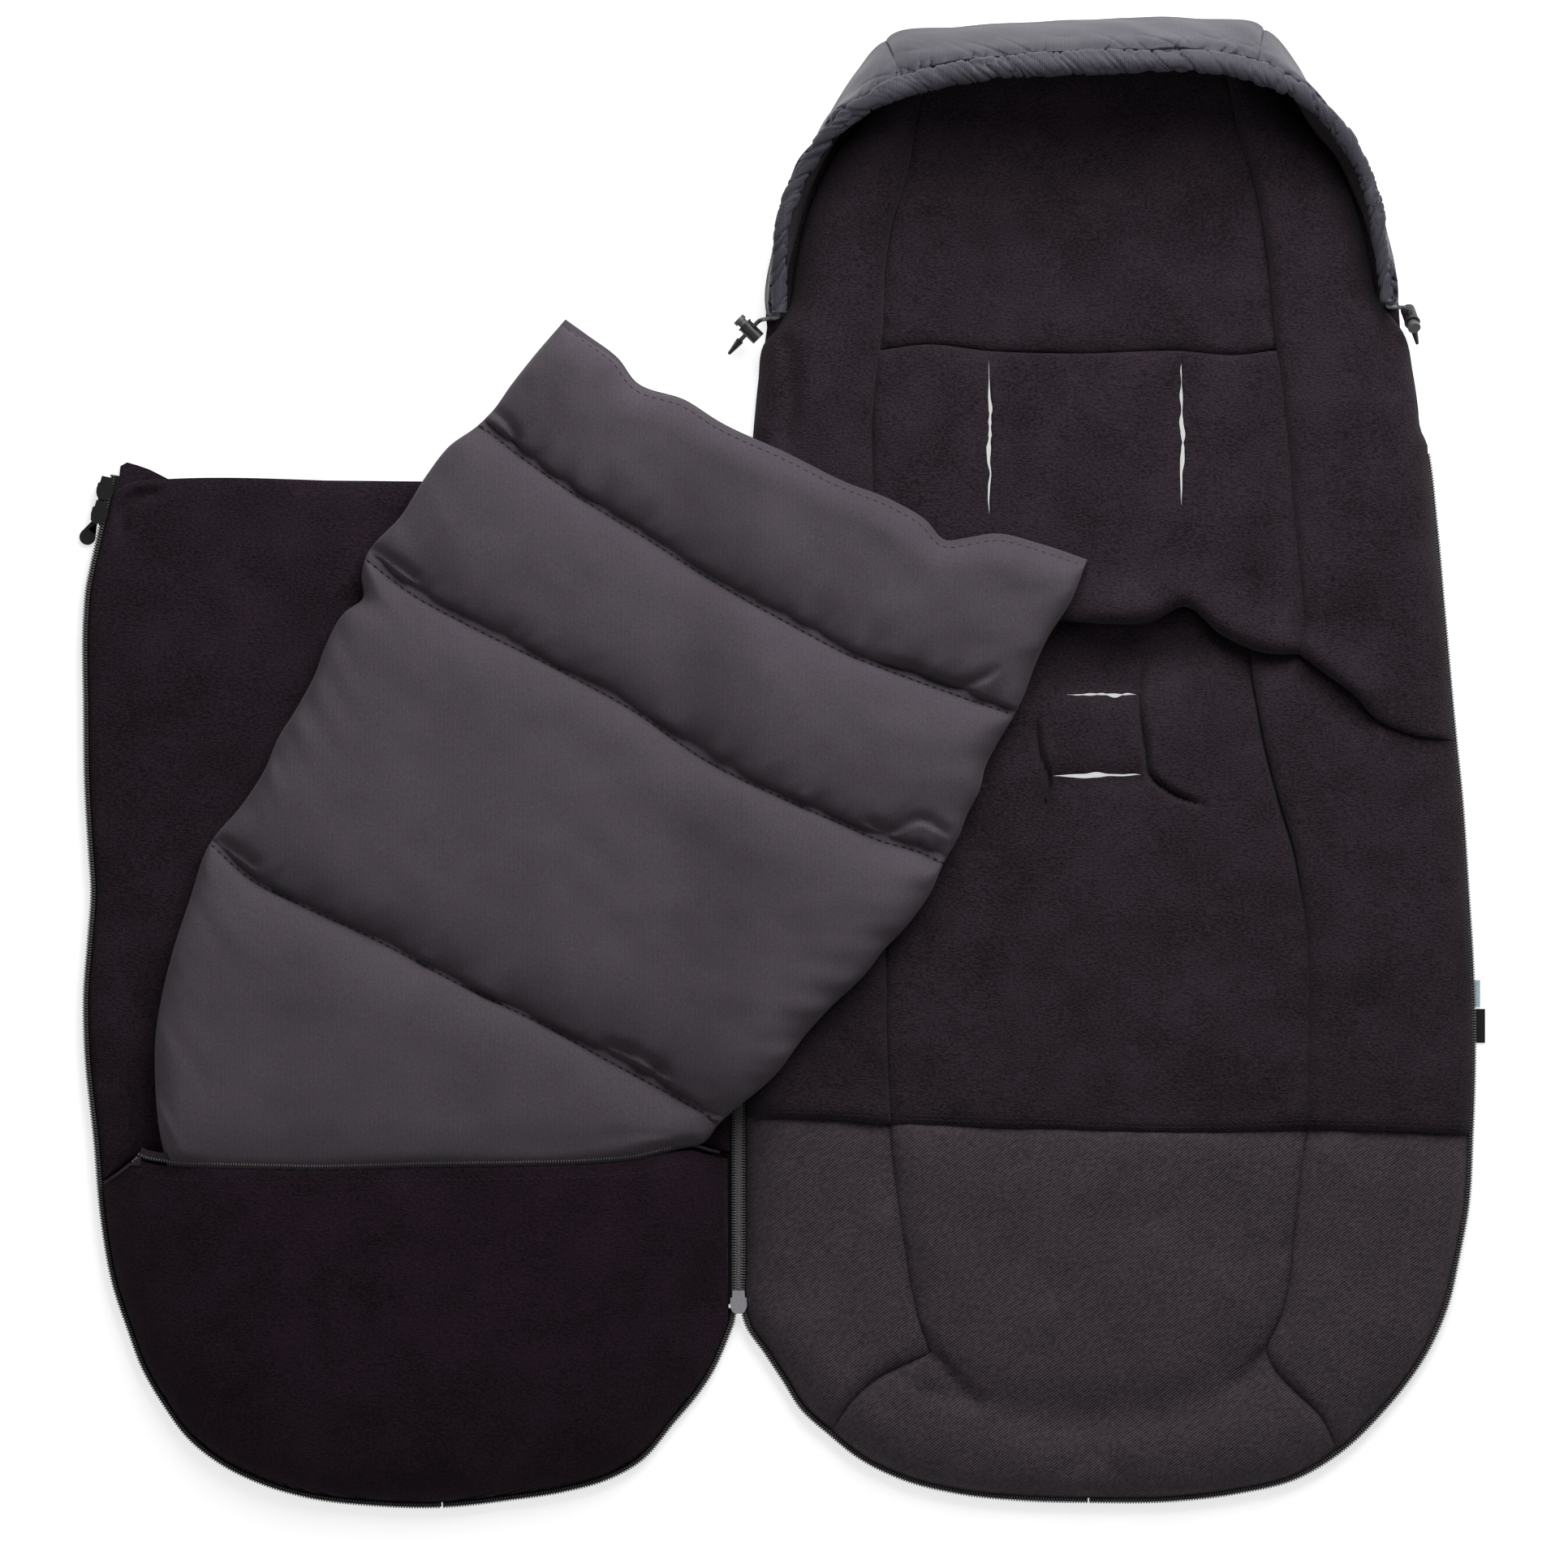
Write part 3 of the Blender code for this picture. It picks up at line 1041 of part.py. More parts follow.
def cover():
    """Outer shell, fleece lining above the pocket, the pocket's panel, and the zips."""
    right_top, right_low = plan(COVER_CORNER_PX), COVER(1.0)
    edge = inset_curve(COVER, SHELL_INSET, COVER_MIDDLE)
    inner_x = np.array([-SHELL_INSET, 0.0])
    shell = [edge(share) for share in np.linspace(0.0, 1.0, 71)]
    shell += [right_low + inner_x + np.array([0.0, SHELL_INSET]), right_top + inner_x]
    flap = curve_px(COVER_FLAP_PX)
    shell += [flap(share) for share in np.linspace(1.0, 0.0, 7)]
    sheet("cover_shell", shell, 0.0, SHELL_THICKNESS, TWILL)

    mouth = curve_px(MOUTH_PX)
    left = clipped(inset_curve(cover_part("top", "pocket_left"), PAD_INSET, COVER_MIDDLE), 0.0, MOUTH_LIP)
    down = line_between(right_top, mouth(1))
    right = clipped(inset_curve(down, PAD_INSET, COVER_MIDDLE), 0.0, MOUTH_LIP)
    top = trimmed(curve_px(COVER_TOP_PX), left(0), right(0))
    bottom = trimmed(mouth, left(1), right(1))
    radii = (COVER_ROUNDING,) * 4
    pad("cover_lining", (reverse(left), reverse(right), bottom, top), COVER_CROWN, COVER_FLEECE, (14, 14),
        radii)
    Pocket.prepare(mouth)
    pocket(mouth)
    pocket_zips(mouth, bottom)
    zips = {
        "cover_zip_free": (clipped(cover_part("top", "notch"), 0.0, SEAM_GAP), 44),
        "cover_zip_foot": (clipped(cover_part("notch", "end"), SEAM_GAP, 0.0), 20),
    }
    for name, (curve, stations) in zips.items():
        zip_half(name, curve, COVER_MIDDLE, stations)
    joined_start = np.array([ZIP_LINE - ZIP_HALF_GAP_PX * PIXEL, right_top[1]])
    joined_end = np.array([joined_start[0], right_low[1] + CHAIN_WIDTH])
    zip_half("cover_zip_side", line_between(joined_start, joined_end), COVER_MIDDLE, 1)


def pocket_sides(mouth):
    """The plan curves of the pocket's panel: left, right, lower (the toe) and upper (the mouth)."""
    whole = inset_curve(cover_part("pocket_left", "end"), PAD_INSET, COVER_MIDDLE)
    corner_l, corner_r = POCKET_CORNER_SHARES
    left = reverse(clipped(lambda s: whole(s * corner_l), MOUTH_LIP, 0.0))
    lower = lambda s: whole(corner_l + (corner_r - corner_l) * s)
    end = np.array([COVER(1.0)[0] - PAD_INSET, mouth(1)[1] - MOUTH_LIP])

    def right(share):
        span = whole(corner_r + (1 - corner_r) * min(share * 2, 1.0))
        return span if share <= 0.5 else span + (end - whole(1.0)) * (share * 2 - 1)

    return left, right, lower, trimmed(mouth, left(1), end)


class Pocket:
    """The arch of the pocket's panel over the insert's tail, as heights over plan points."""

    @classmethod
    def prepare(cls, mouth):
        """Keep the closed sides and the mouth as plan points."""
        left, right, lower, upper = pocket_sides(mouth)
        shares = np.linspace(0.0, 1.0, 60)
        cls.closed = np.array([side(s) for side in (left, lower, right) for s in shares])
        cls.mouth = np.array([upper(s) for s in shares])

    @classmethod
    def mouth_y(cls, x):
        return float(np.interp(x, cls.mouth[:, 0], cls.mouth[:, 1]))

    @classmethod
    def top(cls, point):
        """Height of the panel's upper face above the shell."""
        inside = np.linalg.norm(cls.closed - point, axis=1).min()
        depth = max(cls.mouth_y(point[0]) - point[1], 0.0)
        mouth_share = POCKET_MOUTH_HEIGHT / POCKET_CROWN
        lift = mouth_share + (1.0 - mouth_share) * rounding(depth, MOUTH_ROUNDING)
        return POCKET_EDGE_HEIGHT + (POCKET_CROWN - POCKET_EDGE_HEIGHT) * lift * rounding(inside, POCKET_ROUNDING)


def pocket(mouth):
    """The pocket's panel: an arched skin over the insert's tail, open at its mouth, closed at its other edges."""
    grid = shrink(coons(*pocket_sides(mouth), POCKET_COLUMNS, 12), SEAM_GAP / 2)
    rows, columns = grid.shape[:2]
    tops = np.array([[Pocket.top(point) for point in row] for row in grid]) + PAD_BASE
    tops[0], tops[:, 0], tops[:, -1] = (PAD_BASE + POCKET_EDGE_HEIGHT,) * 3
    unders = np.maximum(tops - POCKET_SKIN, PAD_BASE)
    unders[0], unders[:, 0], unders[:, -1] = (PAD_BASE,) * 3
    grid_solid("pocket_panel", grid, tops, unders, COVER_FLEECE, flat_base=False)


def pocket_zips(mouth, lining_edge):
    """The open zip at the pocket's mouth: one half on the panel's lip, one on the lining behind it."""
    columns = eased(POCKET_COLUMNS)
    lip = pocket_sides(mouth)[3]
    rises = np.array([Pocket.top(lip(share)) for share in columns])
    rises[[0, -1]] = POCKET_EDGE_HEIGHT
    rises += LAYER_GAP - POCKET_SKIN
    halves = (("pocket_zip_panel", lip, 1.0, rises), ("pocket_zip_lining", lining_edge, -1.0, np.zeros_like(rises)))
    corner = CHAIN_CHAMFER
    for name, edge, way, lifts in halves:
        sections = []
        for share in np.clip(columns, POCKET_ZIP_END_SHARE, 1.0 - POCKET_ZIP_END_SHARE):
            x, y = edge(share)
            low = PAD_BASE + np.interp(share, columns, lifts)
            high, far = low + POCKET_ZIP_HEIGHT, y + way * POCKET_ZIP_WIDTH
            sections.append([
                (x, y, low), (x, far, low), (x, far, high - corner), (x, far - way * corner, high),
                (x, y + way * corner, high), (x, y, high - corner),
            ])
        sweep(name, sections, ZIP_BLACK)


def insert_base(point):
    """Height of the insert's underside: over the cover's lining, up over the liner, down inside the pocket."""
    climb = np.clip((point[0] - ZIP_LINE + INSERT_CLIMB_START) / (INSERT_CLIMB_START + INSERT_CLIMB_END), 0, 1)
    height = INSERT_OVER_COVER + (INSERT_OVER_LINER - INSERT_OVER_COVER) * climb ** 2 * (3 - 2 * climb)
    above_mouth = point[1] - Pocket.mouth_y(point[0])
    sink = np.clip((INSERT_SINK_LENGTH / 2 - above_mouth) / INSERT_SINK_LENGTH, 0, 1)
    return height + (INSERT_IN_POCKET - height) * sink ** 2 * (3 - 2 * sink)


def insert_top(point, height):
    """The insert's top at a point, held down by the pocket's panel where that covers it."""
    ceiling = PAD_BASE + Pocket.top(point) - POCKET_SKIN - POCKET_CLEARANCE
    above_mouth = point[1] - Pocket.mouth_y(point[0])
    return min(height, ceiling + max(above_mouth - INSERT_PINCH_LENGTH, 0.0))


def insert():
    """The quilted insert: four padded sections between stitched lines, draped over cover and liner."""
    left, right = curve_px(INSERT_LEFT_PX), curve_px(INSERT_RIGHT_PX)
    lines = [curve_px(line) for line in INSERT_LINES_PX]
    across, grids, thick = 16, [], []
    counts = (6, 6, 8, 14)
    for number, rows in enumerate(counts):
        side_l = left.part(INSERT_LEFT_MARKS[number], INSERT_LEFT_MARKS[number + 1])
        side_r = right.part(INSERT_RIGHT_MARKS[number], INSERT_RIGHT_MARKS[number + 1])
        grid = coons(reverse(side_l), reverse(side_r), lines[number + 1], lines[number], across, rows)
        radii = (INSERT_ROUNDING,) * 4
        swell = crown_heights(grid, 0.0, 1.0, radii)
        flat = np.full(grid.shape[:2], INSERT_SEAM_THICKNESS)
        flat[:, [0, -1]] = INSERT_EDGE_THICKNESS
        if number == 0:
            flat[-1] = INSERT_HEM_THICKNESS
        if number == len(counts) - 1:
            flat[0] = INSERT_EDGE_THICKNESS
        depth = flat + (INSERT_CROWN - INSERT_SEAM_THICKNESS) * swell
        grids.append(grid[::-1] if number == 0 else grid[::-1][1:])
        thick.append(depth[::-1] if number == 0 else depth[::-1][1:])
    grid, depth = np.concatenate(grids)[::-1], np.concatenate(thick)[::-1]
    base = np.array([[insert_base(point) for point in row] for row in grid])
    tops = np.array([
        [insert_top(point, low + thick) for point, low, thick in zip(*line)] for line in zip(grid, base, depth)
    ])
    grid_solid("insert_pad", grid, tops, base, QUILT, flat_base=False)


def main():
    liner_backing()
    liner_pads()
    liner_zips()
    tags()
    hood()
    drawcord()
    cord_lock("left", LEFT_TAIL, Vector(LEFT_BARREL_WAY))
    cord_lock("right", RIGHT_TAIL, Vector(RIGHT_BARREL_WAY))
    cover()
    sliders()
    insert()
    for name in ("cover_shell", "cover_lining", "pocket_panel", "pocket_zip_panel", "pocket_zip_lining",
                 "cover_zip_free", "cover_zip_foot", "insert_pad"):
        set_origin(bpy.data.objects[name], (FOLD_AXIS_X, 0.0, FOLD_AXIS_Z))


main()
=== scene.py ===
"""Looks of the open stroller footmuff: cloth, padding, seams, zips and metal, dressed on the fixed frame.

Metres, +Z up, +Y towards the hood. Plan curves are picture coordinates read from a photograph taken
straight down, and PIXEL turns them into metres in the frame's own axes.
"""
import math

import bmesh
import bpy
import numpy as np
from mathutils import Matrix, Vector
from mathutils.bvhtree import BVHTree


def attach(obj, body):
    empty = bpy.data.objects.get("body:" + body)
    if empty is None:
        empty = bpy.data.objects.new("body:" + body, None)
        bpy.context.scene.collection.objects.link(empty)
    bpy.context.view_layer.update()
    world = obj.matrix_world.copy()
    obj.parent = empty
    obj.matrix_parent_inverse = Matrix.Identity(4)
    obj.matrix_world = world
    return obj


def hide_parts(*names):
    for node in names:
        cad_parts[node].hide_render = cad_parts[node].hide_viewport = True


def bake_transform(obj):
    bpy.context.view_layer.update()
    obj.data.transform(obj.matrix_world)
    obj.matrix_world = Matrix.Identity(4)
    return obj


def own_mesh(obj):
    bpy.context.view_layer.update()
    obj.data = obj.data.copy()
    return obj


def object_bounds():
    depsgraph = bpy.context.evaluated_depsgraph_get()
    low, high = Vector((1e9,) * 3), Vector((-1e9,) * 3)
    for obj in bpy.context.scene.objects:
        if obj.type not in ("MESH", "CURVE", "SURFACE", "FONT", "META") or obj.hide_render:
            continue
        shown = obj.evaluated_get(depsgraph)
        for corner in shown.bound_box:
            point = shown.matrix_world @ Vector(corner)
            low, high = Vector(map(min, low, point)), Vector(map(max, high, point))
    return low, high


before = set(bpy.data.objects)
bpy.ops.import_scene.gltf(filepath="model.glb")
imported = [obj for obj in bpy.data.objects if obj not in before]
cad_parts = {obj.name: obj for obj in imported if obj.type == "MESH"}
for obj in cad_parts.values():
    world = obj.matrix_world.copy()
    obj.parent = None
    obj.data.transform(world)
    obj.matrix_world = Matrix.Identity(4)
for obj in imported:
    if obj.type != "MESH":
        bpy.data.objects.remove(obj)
CAD_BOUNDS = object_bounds()

# Plan scale
PIXEL = 0.0005
ORIGIN_PX = (1340, 830)
FRAME_PX = 1932

# Layers, as in the solids
PAD_BASE = 0.0023
PAD_EDGE = 0.0030
PAD_INSET = 0.0043
ZIP_INSET = 0.0036
OVERLAP_INSET = 0.0024
HOOD_END_HEIGHT = 0.034
HOOD_CREST_HEIGHT = 0.104
RIM_RADIUS = 0.0070
RIM_END_RADIUS = 0.0044
HOOD_WALL = 0.0085
HOOD_WALL_TOP = 0.0040
HOOD_SEAT_INSET = 0.0055
HOOD_BULGE_INSET = 0.0030
HOOD_KNEE_SHARE = 0.62
CHAIN_BOTTOM = 0.0042
ZIP_LINE = -0.215
POCKET_CROWN = 0.034
POCKET_SKIN = 0.0022
POCKET_EDGE = 0.0035
POCKET_MOUTH_HEIGHT = 0.029
POCKET_ROUNDING = 0.105
MOUTH_ROUNDING = 0.050
POCKET_LEFT_DROP = 0.0250
LINING_END_GAP = 0.0235

LINER_OUTLINE_PX = [
    (938, 402), (932, 447), (925, 510), (917, 565), (912, 600), (912, 640), (912, 860), (912, 1377),
    (912, 1560), (912, 1614), (917, 1632), (941, 1668), (964, 1703), (985, 1736), (1020, 1768),
    (1058, 1798), (1114, 1825), (1178, 1841), (1263, 1850), (1341, 1852), (1440, 1851), (1526, 1841),
    (1598, 1823), (1652, 1791), (1709, 1736), (1736, 1703), (1762, 1663), (1785, 1610), (1800, 1545),
    (1810, 1492), (1816, 1397), (1819, 1295), (1817, 1196), (1811, 1097), (1803, 979), (1796, 911),
    (1782, 757), (1772, 645), (1762, 559), (1751, 510), (1741, 447), (1732, 402),
]
LEFT_ZIP_TOP, LEFT_WAIST, LEFT_HEM, LEFT_TOE, TOE_NOTCH = 4, 6, 7, 14, 19
RIGHT_TOE, RIGHT_HEM, RIGHT_WAIST, RIGHT_ZIP_TOP, RIGHT_NECK = 23, 30, 35, 38, 41
LEFT_SEAM_PX = [
    (1152, 66), (1136, 118), (1114, 227), (1097, 283), (1090, 330), (1087, 402), (1084, 433), (1077, 510),
    (1076, 599), (1080, 775), (1084, 1000), (1091, 1190), (1097, 1384), (1104, 1466), (1114, 1532),
    (1130, 1620), (1147, 1667),
]
RIGHT_SEAM_PX = [
    (1500, 62), (1514, 112), (1530, 178), (1548, 237), (1558, 290), (1570, 402), (1573, 433), (1584, 526),
    (1594, 640), (1601, 806), (1582, 870), (1577, 946), (1594, 1051), (1607, 1117), (1612, 1176),
    (1611, 1390), (1603, 1440), (1594, 1525), (1581, 1611), (1558, 1663),
]
SEAM_MARKS = {"head": (0, 0), "shoulder": (6, 6), "waist": (9, 9), "hem": (12, 15), "toe": (16, 19)}
SIDE_LEFT_PX = [
    (1108, 84), (1070, 142), (1032, 186), (1000, 250), (982, 320), (970, 384), (960, 402), (942, 424),
    (935, 470), (930, 520), (926, 570), (924, 640), (923, 860),
]
SIDE_RIGHT_PX = [
    (1550, 80), (1588, 134), (1634, 180), (1668, 250), (1689, 330), (1699, 372), (1712, 388), (1729, 412),
    (1740, 460), (1746, 500), (1749, 527), (1752, 536), (1757, 545), (1758.5, 563), (1767, 645), (1777, 757),
    (1791, 911),
]
SHOULDER_PX = [(1084, 433), (1140, 426), (1219, 434), (1330, 437), (1456, 434), (1520, 439), (1573, 433)]
WAIST_PX = [
    (1080, 775), (1308, 764), (1361, 768), (1420, 765), (1459, 747), (1505, 782), (1558, 804), (1601, 806),
]
WAIST_LEFT_PX = [(922, 860), (970, 832), (1025, 798), (1080, 775)]
WAIST_RIGHT_PX = [(1601, 806), (1631, 829), (1667, 856), (1690, 882), (1729, 901), (1788, 910)]
HEM_LEFT_PX = [(919, 1377), (1000, 1377), (1097, 1384)]
HEM_PX = [(1097, 1384), (1295, 1390), (1453, 1395), (1611, 1390)]
HEM_RIGHT_PX = [(1611, 1390), (1700, 1392), (1810, 1397)]
TOE_LEFT_PX = [(1147, 1667), (1124, 1677), (1082, 1698), (1042, 1736), (1020, 1768)]
TOE_RIGHT_PX = [(1558, 1663), (1571, 1686), (1598, 1716), (1631, 1752), (1652, 1791)]

HOOD_OUTLINE_PX = [
    (940, 389), (941, 365), (953, 303), (966, 250), (986, 204), (1018, 145), (1055, 86), (1088, 46),
    (1183, 31), (1301, 25), (1473, 21), (1560, 32), (1598, 79), (1634, 142), (1667, 182), (1690, 230),
    (1711, 290), (1724, 350), (1727, 376),
]
HOOD_LEFT_SEAM, HOOD_RIGHT_SEAM = 7, 11
RIM_INNER_PX = [
    (968, 386), (969, 330), (974, 276), (999, 217), (1045, 160), (1091, 132), (1163, 112), (1295, 98),
    (1390, 95), (1532, 103), (1584, 122), (1624, 152), (1663, 204), (1683, 257), (1691, 309), (1699, 374),
]
RIM_HEIGHT_SHARES = [(0.0, 0.0), (0.12, 0.22), (0.30, 0.74), (0.42, 0.97), (0.58, 1.0), (0.70, 0.78),
                     (0.88, 0.22), (1.0, 0.0)]
RIM_RADIUS_SHARES = [(0.0, 0.0), (0.2, 0.25), (0.36, 1.0), (0.64, 1.0), (0.8, 0.25), (1.0, 0.0)]

COVER_OUTLINE_PX = [
    (136, 584), (122, 646), (114.3, 680), (109, 703.6), (105, 724), (102, 760), (102, 876), (103, 960),
    (108, 1050), (111, 1098), (107, 1158), (102, 1225), (103, 1289), (115, 1409), (123, 1500),
    (138, 1584), (156, 1638), (174, 1686), (198, 1728), (234, 1776), (270, 1804), (318, 1828),
    (378, 1846), (460, 1856), (545, 1858), (630, 1849), (695, 1839), (749, 1824), (788, 1803),
    (833, 1752), (863, 1716), (881, 1688), (893, 1662), (905, 1632),
]
COVER_POCKET_LEFT, COVER_NOTCH, COVER_END = 13, 24, 33
COVER_CORNER_PX = (908, 597)
COVER_TOP_PX = [(155, 605), (168, 598), (185, 594.5), (207, 593), (500, 595), (908, 597)]
COVER_CORNER_CUT = (0.0048, -0.0105)
COVER_CORNER_SHARE = 0.05
COVER_FOLDS_PX = [[(150, 665), (154, 638), (170, 615), (200, 604)], [(147, 640), (156, 618), (176, 603)]]
LIP_PX = [
    (124, 1459), (137, 1451), (160, 1434), (168, 1428), (176, 1431), (204, 1436), (260, 1439), (340, 1441),
    (396, 1442), (440, 1441), (520, 1438.5), (650, 1437), (740, 1434), (800, 1428), (835, 1420), (862, 1417),
    (893, 1425), (908, 1428),
]
LINING_END_PX = [
    (124, 1452), (137, 1444), (158, 1428), (170, 1422), (203, 1420), (300, 1425), (396, 1428), (520, 1424),
    (650, 1422), (740, 1418), (800, 1413), (835, 1406), (862, 1405), (893, 1415), (908, 1419),
]
POCKET_CORNER_SHARES = (0.36, 0.80)

INSERT_LEFT_PX = [
    (697, 394), (655, 443), (630, 475), (607, 507), (590, 524), (553, 551), (528, 583), (496, 634),
    (450, 690), (446, 712), (448, 736), (425, 755), (400, 800), (390, 828), (366, 873), (342, 912),
    (327, 948), (300, 990), (259, 1040), (234, 1110), (213, 1175), (201, 1223), (193, 1271), (192, 1331),
    (198, 1397), (205, 1430), (222, 1500),
]
INSERT_RIGHT_PX = [
    (1339, 690), (1318, 743), (1290, 787), (1275, 819), (1261, 857), (1249, 882), (1229, 915),
    (1213, 947), (1207, 972), (1191, 1004), (1181, 1030), (1162, 1064), (1146, 1100), (1114, 1144),
    (1089, 1170), (1066, 1200), (1023, 1241), (993, 1274), (957, 1322), (898, 1373), (887, 1383),
    (869, 1406), (833, 1418), (760, 1482), (660, 1545),
]
INSERT_LEFT_MARKS = [0, 4, 8, 18, 26]
INSERT_RIGHT_MARKS = [0, 5, 11, 20, 24]
INSERT_LINES_PX = [
    [(697, 394), (725, 414), (763, 443), (783, 470), (846, 494), (885, 519), (974, 561), (1038, 593),
     (1101, 618), (1140, 641), (1165, 666), (1191, 663), (1223, 658), (1286, 672), (1339, 690)],
    [(590, 524), (640, 563), (698, 604), (795, 664), (870, 712), (972, 770), (1045, 808), (1112, 834),
     (1190, 862), (1249, 882)],
    [(450, 690), (510, 735), (576, 771), (680, 822), (782, 878), (868, 937), (972, 988), (1032, 1014),
     (1085, 1037), (1130, 1050), (1162, 1064)],
    [(259, 1040), (312, 1086), (363, 1112), (460, 1157), (562, 1211), (680, 1269), (752, 1309),
     (826, 1349), (887, 1383)],
    [(222, 1500), (270, 1575), (351, 1613), (480, 1612), (600, 1582), (660, 1545)],
]
INSERT_FOLDS_PX = [
    [[(1075, 812), (1116, 824), (1180, 846), (1212, 836), (1232, 822)], [(598, 500), (624, 520), (640, 550)]],
    [[(1060, 1010), (1100, 1024), (1131, 1010), (1172, 1030)], [(452, 672), (480, 690), (520, 718)]],
    [[(262, 1030), (291, 1048), (320, 1070)], [(740, 1284), (786, 1300), (830, 1330)]],
    [],
]


def plan(pixel):
    """A picture coordinate as a plan point in metres."""
    return np.array([(pixel[0] - ORIGIN_PX[0]) * PIXEL, (ORIGIN_PX[1] - pixel[1]) * PIXEL])


class Curve:
    """A smooth curve through plan points, read at shares from 0 to 1."""

    def __init__(self, points):
        self.points = np.array(points, float)
        steps = np.linalg.norm(np.diff(self.points, axis=0), axis=1)
        self.length = steps.sum()
        self.marks = np.concatenate([[0.0], np.cumsum(steps)]) / self.length
        self.slopes = np.gradient(self.points, self.marks, axis=0)

    def __call__(self, share):
        share = np.clip(np.asarray(share, float), 0.0, 1.0)
        i = np.clip(np.searchsorted(self.marks, share, side="right") - 1, 0, len(self.marks) - 2)
        span = self.marks[i + 1] - self.marks[i]
        t = ((share - self.marks[i]) / span)[..., None]
        start, end = self.points[i], self.points[i + 1]
        leave, arrive = self.slopes[i] * span[..., None], self.slopes[i + 1] * span[..., None]
        rise = t * t * (3 - 2 * t)
        return start + (end - start) * rise + leave * t * (1 - t) ** 2 - arrive * t * t * (1 - t)

    def part(self, first, last):
        a, b = self.marks[first], self.marks[last]
        return lambda share: self(a + (b - a) * np.asarray(share, float))


def curve_px(pixels):
    return Curve([plan(pixel) for pixel in pixels])


def left_normals(curve, share, step=0.002):
    """Unit normals of a curve, to the left of its run."""
    share = np.asarray(share, float)
    run = curve(np.minimum(share + step, 1.0)) - curve(np.maximum(share - step, 0.0))
    normal = np.stack([-run[..., 1], run[..., 0]], axis=-1)
    return normal / np.linalg.norm(normal, axis=-1, keepdims=True)


def inward(curve, share, centre, step=0.002):
    """Unit normals of a curve that point towards a centre."""
    normal = left_normals(curve, share, step)
    side = np.sum(normal * (centre - curve(share)), axis=-1, keepdims=True)
    return np.where(side > 0, normal, -normal)


def inset(curve, distance, centre):
    depth = distance if callable(distance) else lambda share: np.full(np.shape(share), distance)
    return lambda share: curve(share) + inward(curve, share, centre) * np.asarray(depth(share))[..., None]


def backwards(curve):
    return lambda share: curve(1.0 - np.asarray(share, float))


def shortened(curve, start_gap, end_gap):
    """A curve with a length taken off each end."""
    steps = np.diff(curve(np.linspace(0.0, 1.0, 60)), axis=0)
    length = np.linalg.norm(steps, axis=1).sum()
    a, b = start_gap / length, 1.0 - end_gap / length
    return lambda share: curve(a + (b - a) * np.asarray(share, float))


def line_between(start, end):
    return lambda share: start + (end - start) * np.asarray(share, float)[..., None]


def trimmed(curve, start, end):
    """A cross seam whose ends are moved onto two side curves."""
    def points(share):
        share = np.asarray(share, float)
        weight = share[..., None]
        return curve(share) + (start - curve(0.0)) * (1 - weight) + (end - curve(1.0)) * weight
    return points


def eased(count, ends=0.65):
    even = np.linspace(0.0, 1.0, count + 1)
    return (1 - ends) * even + ends * (0.5 - 0.5 * np.cos(math.pi * even))


def coons(sides, across, along):
    """Plan points of a patch between its left, right, lower and upper curves."""
    left, right, lower, upper = sides
    us, vs = eased(across), eased(along)
    u, v = us[None, :, None], vs[:, None, None]
    low, high, lefts, rights = lower(us)[None], upper(us)[None], left(vs)[:, None], right(vs)[:, None]
    edges = (1 - v) * low + v * high + (1 - u) * lefts + u * rights
    below = (1 - u) * low[:, :1] + u * low[:, -1:]
    above = (1 - u) * high[:, :1] + u * high[:, -1:]
    return edges - ((1 - v) * below + v * above)


def rounding(distance, radius):
    """From 0 at an edge to 1 at a radius from it, along a quarter circle."""
    t = np.clip(np.asarray(distance) / radius, 0.0, 1.0)
    return np.sqrt(np.maximum(1.0 - (1.0 - t) ** 2, 0.0))


def reaches(grid):
    """Distances along a patch from its left, right, lower and upper sides."""
    across = np.cumsum(np.linalg.norm(np.diff(grid, axis=1, prepend=grid[:, :1]), axis=2), axis=1)
    along = np.cumsum(np.linalg.norm(np.diff(grid, axis=0, prepend=grid[:1]), axis=2), axis=0)
    return across, across[:, -1:] - across, along, along[-1:] - along


def lengths_along(points):
    """The length from the first of a row of points to each of them."""
    return np.concatenate([[0.0], np.cumsum(np.linalg.norm(np.diff(points, axis=0), axis=1))])


def smooth_step(value):
    value = np.clip(value, 0.0, 1.0)
    return value * value * (3 - 2 * value)


def noise(x, y, cell, seed):
    """Smooth noise from -1 to 1, with a random value at each corner of a square lattice."""
    size = 128
    table = np.random.default_rng(seed).uniform(-1.0, 1.0, (size, size))
    u, v = np.asarray(x) / cell, np.asarray(y) / cell
    i, j = np.floor(u).astype(int), np.floor(v).astype(int)
    s, t = u - i, v - j
    s, t = s * s * (3 - 2 * s), t * t * (3 - 2 * t)

    def at(a, b):
        return table[a % size, b % size]

    low = (1 - s) * at(i, j) + s * at(i + 1, j)
    high = (1 - s) * at(i, j + 1) + s * at(i + 1, j + 1)
    return (1 - t) * low + t * high


def layered(x, y, layers):
    """A sum of noises, each given as height, cell and seed."""
    return sum(height * noise(x, y, cell, seed) for height, cell, seed in layers)


PUCKER_STRETCH = 0.35


def puckers(grid, depth, reach, cell, seed):
    """Small ridges that run square into the seams of a patch and die out away from them."""
    total = np.zeros(grid.shape[:2])
    distances = reaches(grid)
    places = (distances[2], distances[2], distances[0], distances[0])
    for number, (distance, place) in enumerate(zip(distances, places)):
        ridge = noise(place, distance * PUCKER_STRETCH, cell, seed + number)
        ridge = ridge + 0.5 * noise(place, distance, cell / 2, seed + 9)
        total += depth * ridge * np.exp(-distance / reach) * rounding(distance, reach / 3)
    return total


CREASE_STEPS = 120
CREASE_TAPER = 7
CREASE_END_SHARE = 0.08


